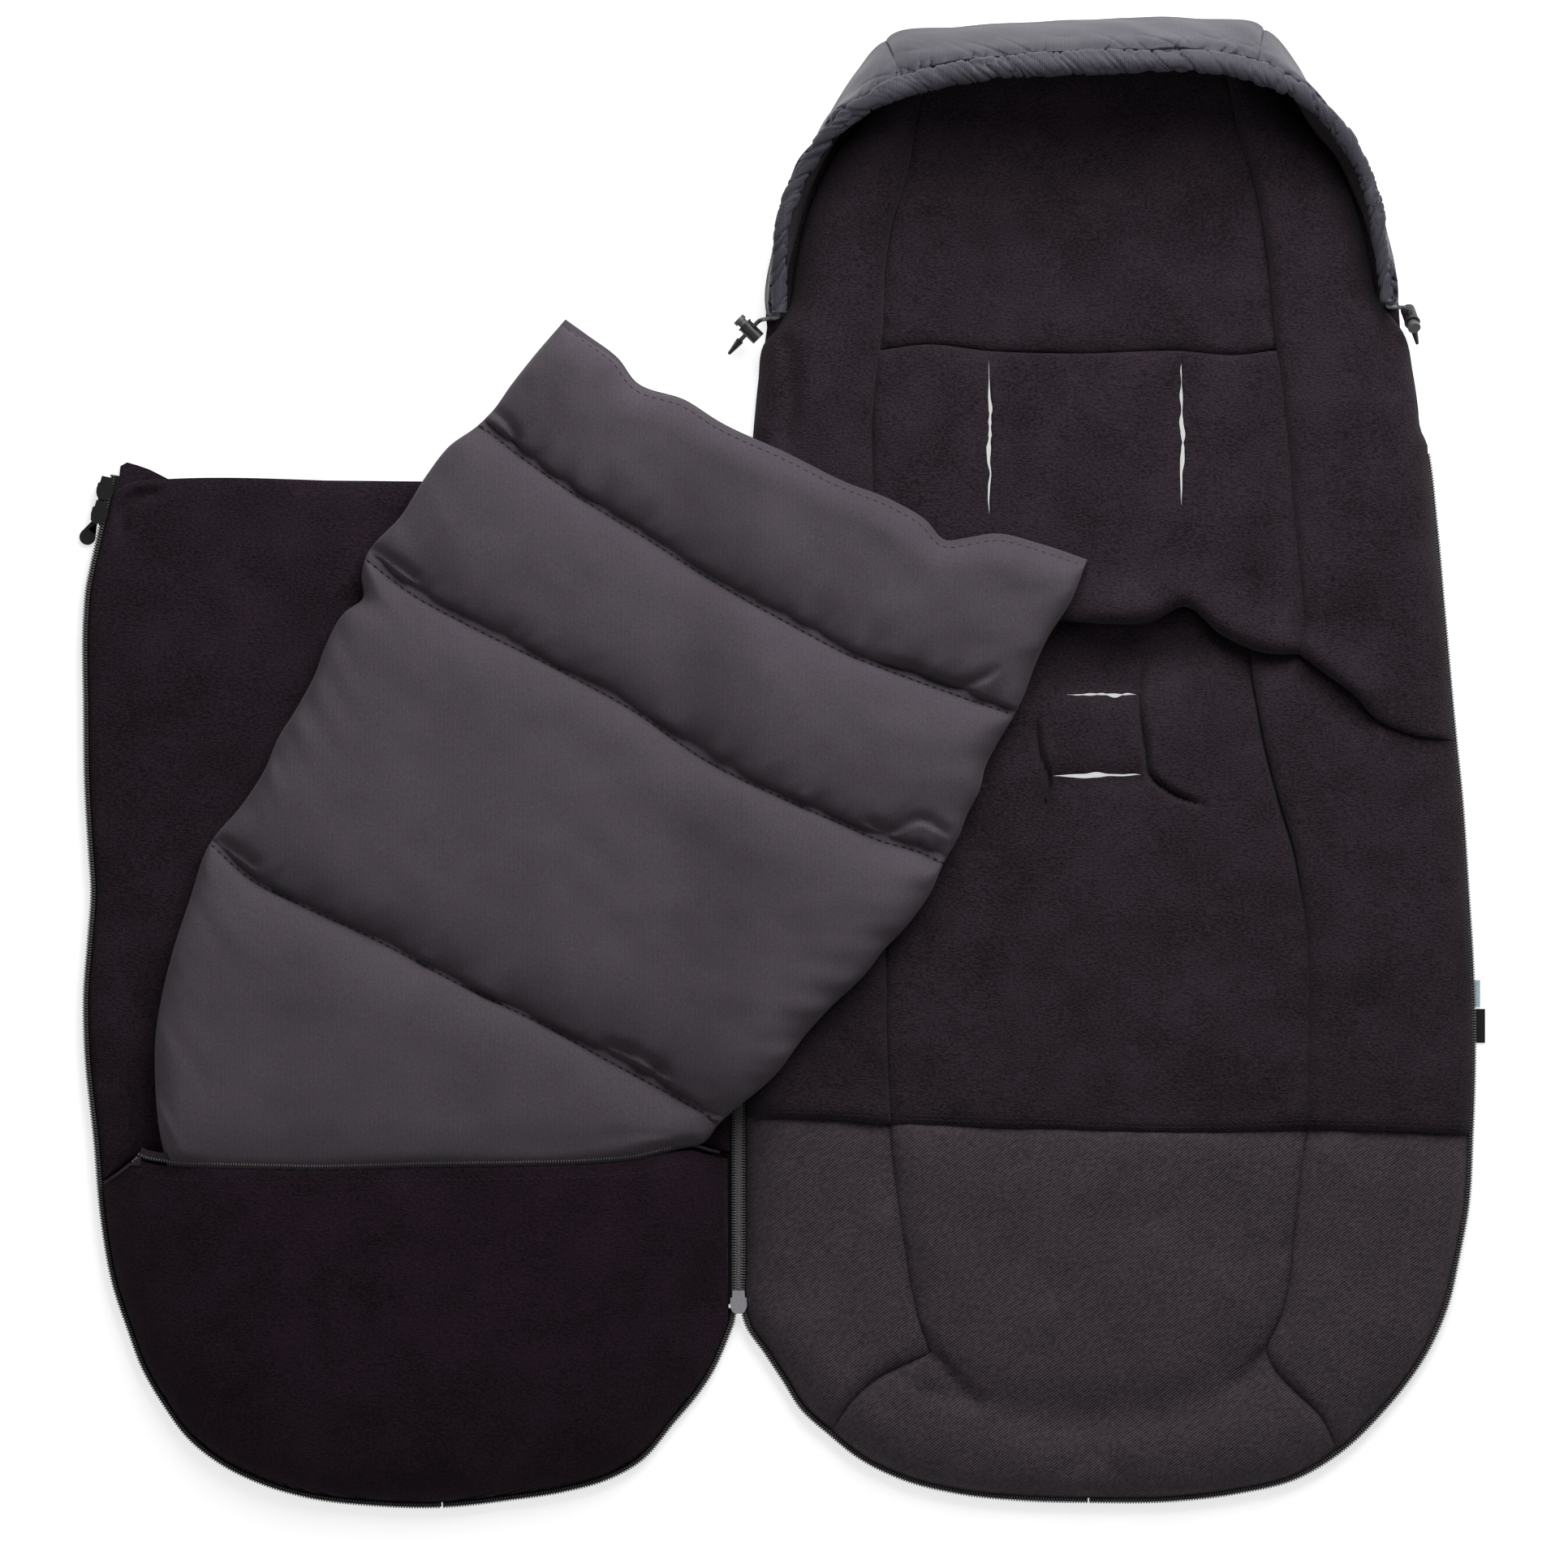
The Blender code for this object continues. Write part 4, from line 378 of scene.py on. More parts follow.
def crease(grid, pixels, depth, width, side=0.0):
    """A dent along a line, with tapering ends. side sharpens one flank."""
    shares = np.linspace(0.0, 1.0, CREASE_STEPS)
    line = curve_px(pixels)(shares)
    flat = grid.reshape(-1, 2)
    gap = np.linalg.norm(flat[:, None] - line[None], axis=2)
    nearest = gap.argmin(axis=1)
    distance = gap.min(axis=1)
    run = np.gradient(line, axis=0)[nearest]
    way = flat - line[nearest]
    sign = np.sign(run[:, 0] * way[:, 1] - run[:, 1] * way[:, 0])
    spread = width * (1.0 + side * sign)
    taper = np.minimum(shares, 1 - shares)[nearest] * CREASE_TAPER + CREASE_END_SHARE
    taper = np.clip(taper, 0.0, 1.0)
    return (-depth * taper * np.exp(-(distance / spread) ** 2)).reshape(grid.shape[:2])


def rim_of(rows, columns):
    bottom = [(0, c) for c in range(columns - 1)]
    right = [(r, columns - 1) for r in range(rows - 1)]
    top = [(rows - 1, c) for c in range(columns - 1, 0, -1)]
    left = [(r, 0) for r in range(rows - 1, 0, -1)]
    return bottom + right + top + left


def linked(name, data):
    """A new object in the scene."""
    item = bpy.data.objects.new(name, data)
    bpy.context.scene.collection.objects.link(item)
    return item


SHARP_ANGLE = math.radians(55)


def new_object(name, verts, faces, finish, body=None):
    mesh = bpy.data.meshes.new(name)
    mesh.from_pydata([tuple(v) for v in verts], [], faces)
    mesh.validate()
    mesh.shade_smooth()
    mesh.set_sharp_from_angle(angle=SHARP_ANGLE)
    mesh.materials.append(finish)
    piece = linked(name, mesh)
    if body:
        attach(piece, body)
    return piece


def prism_faces(base, rings, sides):
    """The faces of a closed form whose rings of points follow each other from one index on."""
    faces = []
    for ring in range(rings - 1):
        a, b = base + ring * sides, base + (ring + 1) * sides
        faces += [(a + i, a + (i + 1) % sides, b + (i + 1) % sides, b + i) for i in range(sides)]
    last = base + (rings - 1) * sides
    faces.append(tuple(base + i for i in reversed(range(sides))))
    faces.append(tuple(last + i for i in range(sides)))
    return faces


def loft(name, rings, finish, body=None):
    """A closed form through rings of points of equal number."""
    rows, columns = rings.shape[:2]
    piece = new_object(name, rings.reshape(-1, 3), prism_faces(0, rows, columns), finish, body)
    whole = bmesh.new()
    whole.from_mesh(piece.data)
    bmesh.ops.recalc_face_normals(whole, faces=whole.faces)
    whole.to_mesh(piece.data)
    whole.free()
    return piece


def grid_solid(name, grid, tops, bottoms, finish, body=None):
    """A closed form between two heights over one patch."""
    rows, columns = grid.shape[:2]
    upper = np.concatenate([grid, tops[..., None]], axis=2).reshape(-1, 3)
    lower = np.concatenate([grid, bottoms[..., None]], axis=2).reshape(-1, 3)
    count = rows * columns
    faces = []
    for r in range(rows - 1):
        for c in range(columns - 1):
            a = r * columns + c
            faces.append((a, a + 1, a + columns + 1, a + columns))
            b = a + count
            faces.append((b, b + columns, b + columns + 1, b + 1))
    loop = rim_of(rows, columns)
    for (r, c), (r2, c2) in zip(loop, loop[1:] + loop[:1]):
        a, b = r * columns + c, r2 * columns + c2
        faces.append((b, a, a + count, b + count))
    return new_object(name, np.concatenate([upper, lower]), faces, finish, body)


def tree_of(*objects):
    """A tree for finding heights on objects whose meshes are in world places."""
    made = bmesh.new()
    for item in objects:
        made.from_mesh(item.data)
    tree = BVHTree.FromBMesh(made)
    made.free()
    return tree


def drop(tree, x, y):
    """Height of the topmost surface under a plan point, if there is one."""
    hit = tree.ray_cast(Vector((x, y, 1.0)), Vector((0.0, 0.0, -1.0)))
    return hit[0].z if hit[0] is not None else None


SHEEN_ROUGHNESS = 0.4


class Shader:
    """A Principled material with a few short-hands for its nodes."""

    def __init__(self, name, colour, roughness, metallic=0.0, sheen=0.0, specular=0.5):
        self.material = bpy.data.materials.new(name)
        self.material.use_nodes = True
        self.nodes = self.material.node_tree.nodes
        self.links = self.material.node_tree.links
        self.principled = self.nodes["Principled BSDF"]
        self.principled.inputs["Base Color"].default_value = (*colour, 1.0)
        self.principled.inputs["Roughness"].default_value = roughness
        self.principled.inputs["Metallic"].default_value = metallic
        self.principled.inputs["Sheen Weight"].default_value = sheen
        self.principled.inputs["Sheen Roughness"].default_value = SHEEN_ROUGHNESS
        self.principled.inputs["Specular IOR Level"].default_value = specular
        self.colour = colour

    def add(self, kind, **values):
        node = self.nodes.new(kind)
        for key, value in values.items():
            if key in node.inputs:
                node.inputs[key].default_value = value
            else:
                setattr(node, key, value)
        return node

    def link(self, source, target):
        self.links.new(source, target)

    def place(self, scale=(1.0, 1.0, 1.0), turn=0.0):
        """The object's own coordinates, turned about Z and scaled."""
        where = self.add("ShaderNodeTexCoord")
        mapping = self.add("ShaderNodeMapping")
        mapping.inputs["Rotation"].default_value = (0.0, 0.0, turn)
        mapping.inputs["Scale"].default_value = scale
        self.link(where.outputs["Object"], mapping.inputs["Vector"])
        return mapping.outputs["Vector"]

    def noise(self, vector, scale, detail=2.0, roughness=0.5):
        node = self.add("ShaderNodeTexNoise", Scale=scale, Detail=detail, Roughness=roughness)
        self.link(vector, node.inputs["Vector"])
        return node.outputs["Fac"]

    def wave(self, vector, scale, distortion=0.0, detail_scale=1.0):
        node = self.add("ShaderNodeTexWave", Scale=scale, Distortion=distortion)
        node.inputs["Detail Scale"].default_value = detail_scale
        self.link(vector, node.inputs["Vector"])
        return node.outputs["Fac"]

    def sum(self, first, second, share):
        """first plus second times a share."""
        node = self.add("ShaderNodeMath", operation="MULTIPLY_ADD")
        self.link(second, node.inputs[0])
        node.inputs[1].default_value = share
        self.link(first, node.inputs[2])
        return node.outputs[0]

    def shade(self, value, dark, light, low=0.3, high=0.7):
        """Tint the base colour between two strengths."""
        spread = self.add("ShaderNodeMapRange", **{"From Min": low, "From Max": high})
        ramp = self.add("ShaderNodeValToRGB")
        for element, strength in zip(ramp.color_ramp.elements, (dark, light)):
            element.color = (*(min(c * strength, 1.0) for c in self.colour), 1.0)
        self.link(value, spread.inputs["Value"])
        self.link(spread.outputs["Result"], ramp.inputs["Fac"])
        self.link(ramp.outputs["Color"], self.principled.inputs["Base Color"])

    def bump(self, value, strength, distance):
        node = self.add("ShaderNodeBump", Strength=strength, Distance=distance)
        self.link(value, node.inputs["Height"])
        self.link(node.outputs["Normal"], self.principled.inputs["Normal"])


PILE_SCALE = (520.0, 1050.0, 800.0)
PILE_HEIGHT = 0.0012
CLUMP_SCALE = 28.0


def fleece(name, colour, depth):
    """Short matt pile in small clumps, longer across than along."""
    made = Shader(name, colour, 0.95, sheen=0.07, specular=0.1)
    pile = made.noise(made.place(PILE_SCALE), 1.0, detail=3.0, roughness=0.62)
    clumps = made.noise(made.place(), CLUMP_SCALE)
    both = made.sum(pile, clumps, 0.35)
    made.shade(both, dark=0.42, light=1.74, low=0.48, high=0.86)
    made.bump(pile, depth, PILE_HEIGHT)
    return made.material


RIB_TURN = math.radians(55)
THREAD_TURN = math.radians(-35)
RIB_SCALE = 215.0
THREAD_SCALE = 430.0
SLUB_SCALE = (620.0, 330.0, 400.0)
RIB_HEIGHT = 0.0006


def twill(name, colour):
    """Steep ribs over a finer cross thread, with short slubs along the ribs and a slow change of tone."""
    made = Shader(name, colour, 0.72, sheen=0.06, specular=0.3)
    ribs = made.wave(made.place(turn=RIB_TURN), RIB_SCALE, distortion=0.8, detail_scale=1.5)
    threads = made.wave(made.place(turn=THREAD_TURN), THREAD_SCALE, distortion=0.4, detail_scale=2.0)
    stretch = made.add("ShaderNodeMapping")
    stretch.inputs["Scale"].default_value = SLUB_SCALE
    made.link(made.place(turn=RIB_TURN), stretch.inputs["Vector"])
    slub = made.noise(stretch.outputs["Vector"], 1.0)
    weave = made.sum(made.sum(ribs, threads, 0.4), slub, 2.0)
    slow = made.noise(made.place(), 22.0, detail=3.0)
    made.shade(made.sum(weave, slow, 0.5), dark=0.32, light=1.78, low=1.25, high=2.65)
    made.bump(weave, 0.6, RIB_HEIGHT)
    return made.material


GRAIN_SCALE = 900.0
SLOW_SCALE = 14.0
WEAVE_HEIGHT = 0.0003


def plain_cloth(name, colour, roughness, ribs_scale, strength, sheen, specular=0.25):
    """Close plain weave with faint ribs and slow changes of tone."""
    made = Shader(name, colour, roughness, sheen=sheen, specular=specular)
    ribs = made.wave(made.place(), ribs_scale, distortion=0.5, detail_scale=3.0)
    grain = made.noise(made.place(), GRAIN_SCALE)
    slow = made.noise(made.place(), SLOW_SCALE)
    both = made.sum(made.sum(grain, ribs, 0.5), slow, 0.5)
    made.shade(both, dark=0.72, light=1.58, low=0.55, high=1.45)
    made.bump(made.sum(grain, ribs, 0.6), strength, WEAVE_HEIGHT)
    return made.material


SPECK_HEIGHT = 0.0001


def speckled(name, colour, roughness, scale, dark, light, strength=0.2, metallic=0.0, specular=0.5):
    """A material with a fine grain, for moulded plastic, metal, thread and elastic."""
    made = Shader(name, colour, roughness, metallic, specular=specular)
    grain = made.noise(made.place(), scale, detail=3.0)
    made.shade(grain, dark, light)
    made.bump(grain, strength, SPECK_HEIGHT)
    return made.material


LINER_FLEECE = fleece("liner_fleece", (0.029, 0.0205, 0.0275), 1.0)
COVER_FLEECE = fleece("cover_fleece", (0.0228, 0.0146, 0.0212), 0.9)
# The pocket's fleece is the cover's fleece made darker: painted shade for the light that falls off towards
# the pocket.
POCKET_FLEECE_PAINTED_SHADE = fleece("pocket_fleece_painted_shade", (0.0180, 0.0100, 0.0160), 0.9)
TWILL = twill("grey_twill", (0.0552, 0.0412, 0.0518))
HOOD_CLOTH = plain_cloth("hood_cloth", (0.054, 0.051, 0.067), 0.60, 250.0, 0.3, 0.1, specular=0.35)
QUILT = plain_cloth("insert_cloth", (0.080, 0.0665, 0.0815), 0.9, 520.0, 0.4, 0.08)
BINDING = plain_cloth("zip_binding", (0.034, 0.026, 0.034), 0.85, 700.0, 0.3, 0.1)
TAPE = plain_cloth("zip_tape", (0.008, 0.007, 0.008), 0.8, 900.0, 0.4, 0.1)
# The zip teeth are black plastic: their grey base colour is painted glints, standing in for the highlights on
# the coil.
COIL_PAINTED_GLINTS = speckled("zip_coil_painted_glints", (0.150, 0.142, 0.146), 0.28, 900.0, 0.8, 1.2, 0.05)
THREAD = speckled("thread_dark", (0.012, 0.010, 0.012), 0.7, 1500.0, 0.7, 1.3)
SILVER = speckled("slider_silver", (0.70, 0.68, 0.73), 0.36, 700.0, 0.9, 1.08, 0.08, metallic=0.85)
BLACK_METAL = speckled("slider_black", (0.026, 0.025, 0.027), 0.22, 700.0, 0.8, 1.2, 0.08, metallic=0.3)
PLASTIC = speckled("lock_plastic", (0.022, 0.020, 0.022), 0.42, 800.0, 0.85, 1.15, 0.15)
BUTTON_GREY = speckled("button_plastic", (0.10, 0.095, 0.10), 0.42, 800.0, 0.85, 1.15, 0.15)
SPRING_STEEL = speckled("spring_steel", (0.60, 0.60, 0.62), 0.3, 700.0, 0.9, 1.1, 0.05, metallic=1.0)
ELASTIC = speckled("flecked_elastic", (0.03, 0.03, 0.031), 0.75, 420.0, 0.2, 7.0, 0.5)
RIBBON_BLACK = plain_cloth("ribbon_black", (0.012, 0.012, 0.013), 0.6, 900.0, 0.3, 0.1)
RIBBON_BLUE = plain_cloth("ribbon_blue", (0.45, 0.60, 0.74), 0.6, 900.0, 0.3, 0.1)

LINER = curve_px(LINER_OUTLINE_PX)
LEFT_SEAM = curve_px(LEFT_SEAM_PX)
RIGHT_SEAM = curve_px(RIGHT_SEAM_PX)
LINER_MIDDLE = plan((1355, 1100))
COVER = curve_px(COVER_OUTLINE_PX)
COVER_MIDDLE = plan((500, 1250))


SEAM_OVERLAP = 0.0004
INNER_SEAM_SHARE = 0.88
OUTER_EDGE_SHARE = 0.12


def widened(grid, distance):
    """The same patch with its four sides moved outwards a little."""
    wide = grid.copy()
    for row, inner in ((0, 1), (-1, -2)):
        for target, source in ((wide[row], grid[inner]), (wide[:, row], grid[:, inner])):
            way = target - source
            target += way / np.maximum(np.linalg.norm(way, axis=1, keepdims=True), 1e-9) * distance
    return wide


def between_ends(value, place):
    """A value along a side, which may be given as its two ends."""
    start, end = value if isinstance(value, tuple) else (value, value)
    return start + (end - start) * place


def height_share(grid, edges, radii):
    """Share of its full height that a pad has over its patch."""
    up, over = (np.linspace(0.0, 1.0, count) for count in grid.shape[:2])
    places = (up[:, None], up[:, None], over, over)
    share = np.ones(grid.shape[:2])
    for distance, edge, radius, place in zip(reaches(grid), edges, radii, places):
        low = between_ends(edge, place)
        share = share * (low + (1 - low) * rounding(distance, between_ends(radius, place)))
    return share


PAD_LEAST = 0.0026
LEAST_STEPS = 16
PUCKER_REACH = 0.012
PUCKER_CELL = 0.011


def pad(name, sides, crown, finish, edges, radii, nodes, step=0.0028, details=(), seed=1, pucker=0.0008,
        swell=0.0013):
    """A sewn pad of the liner.

    For its left, right, lower and upper side, edges holds the share of its height that is kept there, and
    radii the width over which it rises to the whole.
    """
    left, right, lower, upper = sides
    across = int(np.linalg.norm(lower(1.0) - lower(0.0)) / step)
    along = int(np.linalg.norm(left(1.0) - left(0.0)) / step)
    grid = coons(sides, max(across, LEAST_STEPS), max(along, LEAST_STEPS))
    heights = crown * height_share(grid, edges, radii)
    calm = np.minimum(heights / crown, 1.0)
    swells = ((swell, 0.055, seed), (0.45 * swell, 0.021, seed + 3))
    heights += layered(grid[..., 0], grid[..., 1], swells) * calm
    heights += puckers(grid, pucker, PUCKER_REACH, PUCKER_CELL, seed + 20) * calm
    for detail in details:
        heights += crease(grid, *detail) * calm
    heights = np.maximum(heights, PAD_LEAST)
    grid = widened(grid, SEAM_OVERLAP)
    lows = np.full_like(heights, PAD_BASE)
    piece = grid_solid(name + "_cloth", grid, PAD_BASE + heights, lows, finish, "liner")
    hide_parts(*nodes)
    return piece


def seam_part(seam, side, start, end):
    return seam.part(SEAM_MARKS[start][side], SEAM_MARKS[end][side])


def strip(left, right, upper, lower):
    """The sides of a pad between two curves that run down the liner."""
    top = trimmed(upper, left(0.0), right(0.0))
    bottom = trimmed(lower, left(1.0), right(1.0))
    return backwards(left), backwards(right), bottom, top


def head_end(left, right):
    return line_between(left(0.0), right(0.0))


def joined(first, second, share):
    """Two curves in a row, the first up to a share of the whole."""
    def points(t):
        t = np.asarray(t, float)
        before, after = first(np.minimum(t / share, 1.0)), second(np.maximum(t - share, 0.0) / (1 - share))
        return np.where((t < share)[..., None], before, after)
    return points


WAIST_SEAT_PX = WAIST_PX[:6] + [(1542, 797)]
WAIST_OUTER_PX = [(1542, 797), (1558, 804)] + WAIST_RIGHT_PX
SEAT_SEAM_PX = [
    (1542, 797), (1543, 830), (1550, 870), (1562, 930), (1578, 990), (1596, 1051), (1607, 1117), (1612, 1176),
    (1613, 1250), (1612, 1320), (1611, 1390),
]
BACK_ROLL_PX = [(1330, 752), (1380, 752), (1425, 746), (1459, 732), (1505, 762), (1558, 786), (1612, 790)]
SIDE_ROLL_PX = [(1590, 786), (1640, 818), (1676, 846), (1710, 862)]
WAIST_HOLLOW_PX = [(1170, 800), (1270, 800), (1345, 806), (1420, 802), (1500, 806)]
SEAT_EDGE_PX = [(1541, 800), (1543, 830), (1549, 870), (1561, 930), (1577, 990), (1595, 1051), (1606, 1117)]
WAIST_SIDE_HOLLOW_PX = [(1590, 830), (1630, 852), (1668, 880), (1700, 900)]
SEAT_LEFT_FOLD_PX = [(1276, 884), (1282, 930), (1292, 959), (1284, 1006)]
SEAT_RIGHT_FOLD_PX = [
    (1424, 778), (1408, 826), (1404, 870), (1412, 926), (1417, 955), (1440, 975), (1490, 995),
]
SEAT_BAND_PX = [[(1286, 850), (1350, 846), (1408, 850)], [(1288, 962), (1350, 962), (1418, 960)]]
BACK_FOLD_PX = [[(1459, 747), (1500, 722), (1560, 716)], [(1601, 800), (1640, 770), (1700, 760)]]
SIDE_FOLD_PX = [[(1688, 862), (1704, 872), (1722, 884)]]
HOOD_END_FOLDS_PX = [
    [(962, 404), (973, 450), (974, 500), (962, 560)],
    [(1704, 392), (1706, 440), (1716, 500)],
]

# Dents of the foot: line, depth and width
FOOT_FOLDS_PX = [
    ([(1130, 1640), (1170, 1706), (1270, 1742), (1390, 1744), (1490, 1722), (1572, 1640)], 0.0050, 0.018),
    ([(1150, 1664), (1176, 1700), (1215, 1736)], 0.0036, 0.004),
    ([(1100, 1692), (1150, 1716), (1196, 1728)], 0.002, 0.004),
    ([(1556, 1662), (1540, 1690), (1508, 1712)], 0.0036, 0.005),
    ([(1300, 1822), (1345, 1796), (1400, 1822)], 0.002, 0.008),
]


def liner_pads():
    """The fleece pads of head, back, sides and seat, and the twill pads of the foot."""
    shoulder = curve_px(SHOULDER_PX)
    waist, waist_left, waist_right = (curve_px(line) for line in (WAIST_PX, WAIST_LEFT_PX, WAIST_OUTER_PX))
    hem_left, hem, hem_right = curve_px(HEM_LEFT_PX), curve_px(HEM_PX), curve_px(HEM_RIGHT_PX)
    toe_left, toe_right = curve_px(TOE_LEFT_PX), curve_px(TOE_RIGHT_PX)
    side_left, side_right = curve_px(SIDE_LEFT_PX), curve_px(SIDE_RIGHT_PX)
    seam, edge = INNER_SEAM_SHARE, OUTER_EDGE_SHARE
    soft, tight, long = 0.020, 0.010, 0.060

    def outline(first, last, depth=PAD_INSET):
        return inset(LINER.part(first, last), depth, LINER_MIDDLE)

    left, right = seam_part(LEFT_SEAM, 0, "head", "shoulder"), seam_part(RIGHT_SEAM, 1, "head", "shoulder")
    made = [pad("head_pad", strip(left, right, head_end(left, right), shoulder), 0.016, LINER_FLEECE,
                (seam, seam, 0.66, edge), (tight, tight, 0.012, 0.030), ["head_pad"], seed=2, pucker=0.0016)]

    left, right = seam_part(LEFT_SEAM, 0, "shoulder", "waist"), seam_part(RIGHT_SEAM, 1, "shoulder", "waist")
    folds = [(BACK_FOLD_PX[0], 0.0015, 0.007), (BACK_ROLL_PX, -0.0085, 0.014)]
    made.append(pad("back_pad", strip(left, right, shoulder, waist), 0.023, LINER_FLEECE,
                    (0.85, 0.85, 0.78, 0.75), (tight, tight, 0.009, soft), ["back_pad"], details=folds,
                    seed=5, pucker=0.0014))
    right = seam_part(LEFT_SEAM, 0, "head", "waist")
    folds = [(HOOD_END_FOLDS_PX[0], 0.006, 0.006)]
    made.append(pad("left_side_pad", strip(side_left, right, head_end(side_left, right), waist_left), 0.024,
                    LINER_FLEECE, (edge, (0.82, 0.60), 0.75, edge), (0.030, tight, 0.009, long),
                    ["head_side_left", "back_side_left"], details=folds, seed=6))
    left = seam_part(RIGHT_SEAM, 1, "head", "waist")
    folds = [(HOOD_END_FOLDS_PX[1], 0.005, 0.006), (BACK_FOLD_PX[1], 0.0015, 0.010)]
    folds.append((SIDE_ROLL_PX, -0.0050, 0.013))
    side_waist = curve_px(WAIST_RIGHT_PX)
    sides = strip(left, side_right, head_end(left, side_right), side_waist)
    made.append(pad("right_side_pad", sides, 0.024, LINER_FLEECE, ((0.82, 0.60), edge, (0.74, 0.93), edge),
                    (tight, 0.030, (0.010, 0.006), long), ["head_side_right", "back_side_right"],
                    details=folds, seed=7))

    left, right = seam_part(LEFT_SEAM, 0, "waist", "hem"), curve_px(SEAT_SEAM_PX)
    folds = [(SEAT_LEFT_FOLD_PX, 0.006, 0.0018), (SEAT_RIGHT_FOLD_PX, 0.008, 0.0018)]
    folds += [(WAIST_HOLLOW_PX, 0.016, 0.024), (SEAT_EDGE_PX, 0.006, 0.0020)]
    folds += [(line, 0.0030, 0.008) for line in SEAT_BAND_PX]
    made.append(pad("seat_pad", strip(left, right, curve_px(WAIST_SEAT_PX), hem), 0.019, LINER_FLEECE,
                    (0.8, 0.8, 0.75, 0.06), (tight, 0.014, tight, 0.050), ["seat_pad"], step=0.0016,
                    details=folds, seed=8))
    left, right = outline(LEFT_WAIST, LEFT_HEM), seam_part(LEFT_SEAM, 0, "waist", "hem")
    made.append(pad("seat_side_left", strip(left, right, waist_left, hem_left), 0.021, LINER_FLEECE,
                    (edge, 0.72, 0.75, 0.25), (0.030, tight, tight, 0.045), ["seat_side_left"], seed=9))
    left = curve_px(SEAT_SEAM_PX)
    right = backwards(outline(RIGHT_HEM, RIGHT_WAIST, OVERLAP_INSET))
    folds = [(line, 0.003, 0.004) for line in SIDE_FOLD_PX] + [(WAIST_SIDE_HOLLOW_PX, 0.005, 0.012)]
    made.append(pad("seat_side_right", strip(left, right, waist_right, hem_right), 0.021, LINER_FLEECE,
                    (0.76, edge, 0.75, (0.10, 1.07)), (0.012, 0.030, tight, (0.050, 0.008)),
                    ["seat_side_right"], details=folds, seed=10))

    left, right = seam_part(LEFT_SEAM, 0, "hem", "toe"), seam_part(RIGHT_SEAM, 1, "hem", "toe")
    front = outline(LEFT_TOE, RIGHT_TOE, ZIP_INSET)
    left = joined(left, trimmed(toe_left, left(1.0), front(0.0)), 0.72)
    right = joined(right, trimmed(toe_right, right(1.0), front(1.0)), 0.72)
    made.append(pad("foot_middle", (backwards(left), backwards(right), front, hem), 0.018, TWILL,
                    (0.6, 0.6, edge, 0.7), (soft, soft, 0.030, soft), ["foot_panel", "toe_pad"],
                    details=FOOT_FOLDS_PX, seed=11, swell=0.0024))
    left, right = outline(LEFT_HEM, LEFT_TOE), seam_part(LEFT_SEAM, 0, "hem", "toe")
    made.append(pad("foot_side_left", strip(left, right, hem_left, backwards(toe_left)), 0.017, TWILL,
                    (edge, 0.62, 0.62, 0.7), (0.030, soft, 0.012, soft), ["foot_side_left"], seed=12,
                    swell=0.0022))
    left = seam_part(RIGHT_SEAM, 1, "hem", "toe")
    right = backwards(outline(RIGHT_TOE, RIGHT_HEM, ZIP_INSET))
    made.append(pad("foot_side_right", strip(left, right, hem_right, toe_right), 0.017, TWILL,
                    (0.62, edge, 0.62, 0.7), (soft, 0.030, 0.012, soft), ["foot_side_right"], seed=13,
                    swell=0.0022))
    return made


SLOTS_PX = [((1219, 536), 0.100, True), ((1456, 536), 0.098, True), ((1358, 856), 0.044, False),
            ((1351, 955), 0.054, False)]
SLOT_GAPE = 0.0030
SLOT_WANDER = 0.0007
SLOT_CELL = 0.016
SLOT_STEPS = 41
SLOT_END_SHARE = 0.04
CUTTER_HEIGHTS = (-0.01, 0.06)


def slot_outline(length, upright, number):
    """The ragged outline of one slit about its middle."""
    shares = np.linspace(-1.0, 1.0, SLOT_STEPS)
    wander = SLOT_WANDER * noise(shares * length, 0.0, SLOT_CELL, 40 + number)
    ragged = 0.25 + 0.9 * np.abs(noise(shares * length, 0.0, SLOT_CELL, 50 + number))
    half = SLOT_GAPE / 2 * ragged * np.maximum(1.0 - shares ** 2, SLOT_END_SHARE)
    along = shares * length / 2
    sides = np.concatenate([wander - half, (wander + half)[::-1]])
    outline = np.stack([sides, np.concatenate([along, along[::-1]])], axis=1)
    return outline if upright else outline[:, ::-1]


def cut_slots(pieces):
    """Narrow ragged slits through the pads and the backing, where belts come through."""
    for number, (centre, length, upright) in enumerate(SLOTS_PX):
        points = plan(centre) + slot_outline(length, upright, number)
        rings = [np.insert(points, 2, height, axis=1) for height in CUTTER_HEIGHTS]
        cutter = loft("slot_cutter", np.array(rings), LINER_FLEECE)
        for piece in pieces:
            apply_boolean(piece, cutter)
        bpy.data.objects.remove(cutter, do_unlink=True)


def apply_boolean(piece, cutter):
    modifier = piece.modifiers.new("cut", "BOOLEAN")
    modifier.operation = "DIFFERENCE"
    modifier.object = cutter
    bpy.context.view_layer.update()
    evaluated = piece.evaluated_get(bpy.context.evaluated_depsgraph_get())
    mesh = bpy.data.meshes.new_from_object(evaluated)
    piece.modifiers.remove(modifier)
    old = piece.data
    piece.data = mesh
    bpy.data.meshes.remove(old)


MERGE_DISTANCE = 0.000002
ROUNDED_ANGLE = math.radians(40)
ROUNDED_SEGMENTS = 2


def merge(mesh):
    """Join the faces of a copied solid, so that its edges can be rounded."""
    whole = bmesh.new()
    whole.from_mesh(mesh)
    bmesh.ops.remove_doubles(whole, verts=whole.verts, dist=MERGE_DISTANCE)
    whole.to_mesh(mesh)
    whole.free()
    if "custom_normal" in mesh.attributes:
        mesh.attributes.remove(mesh.attributes["custom_normal"])


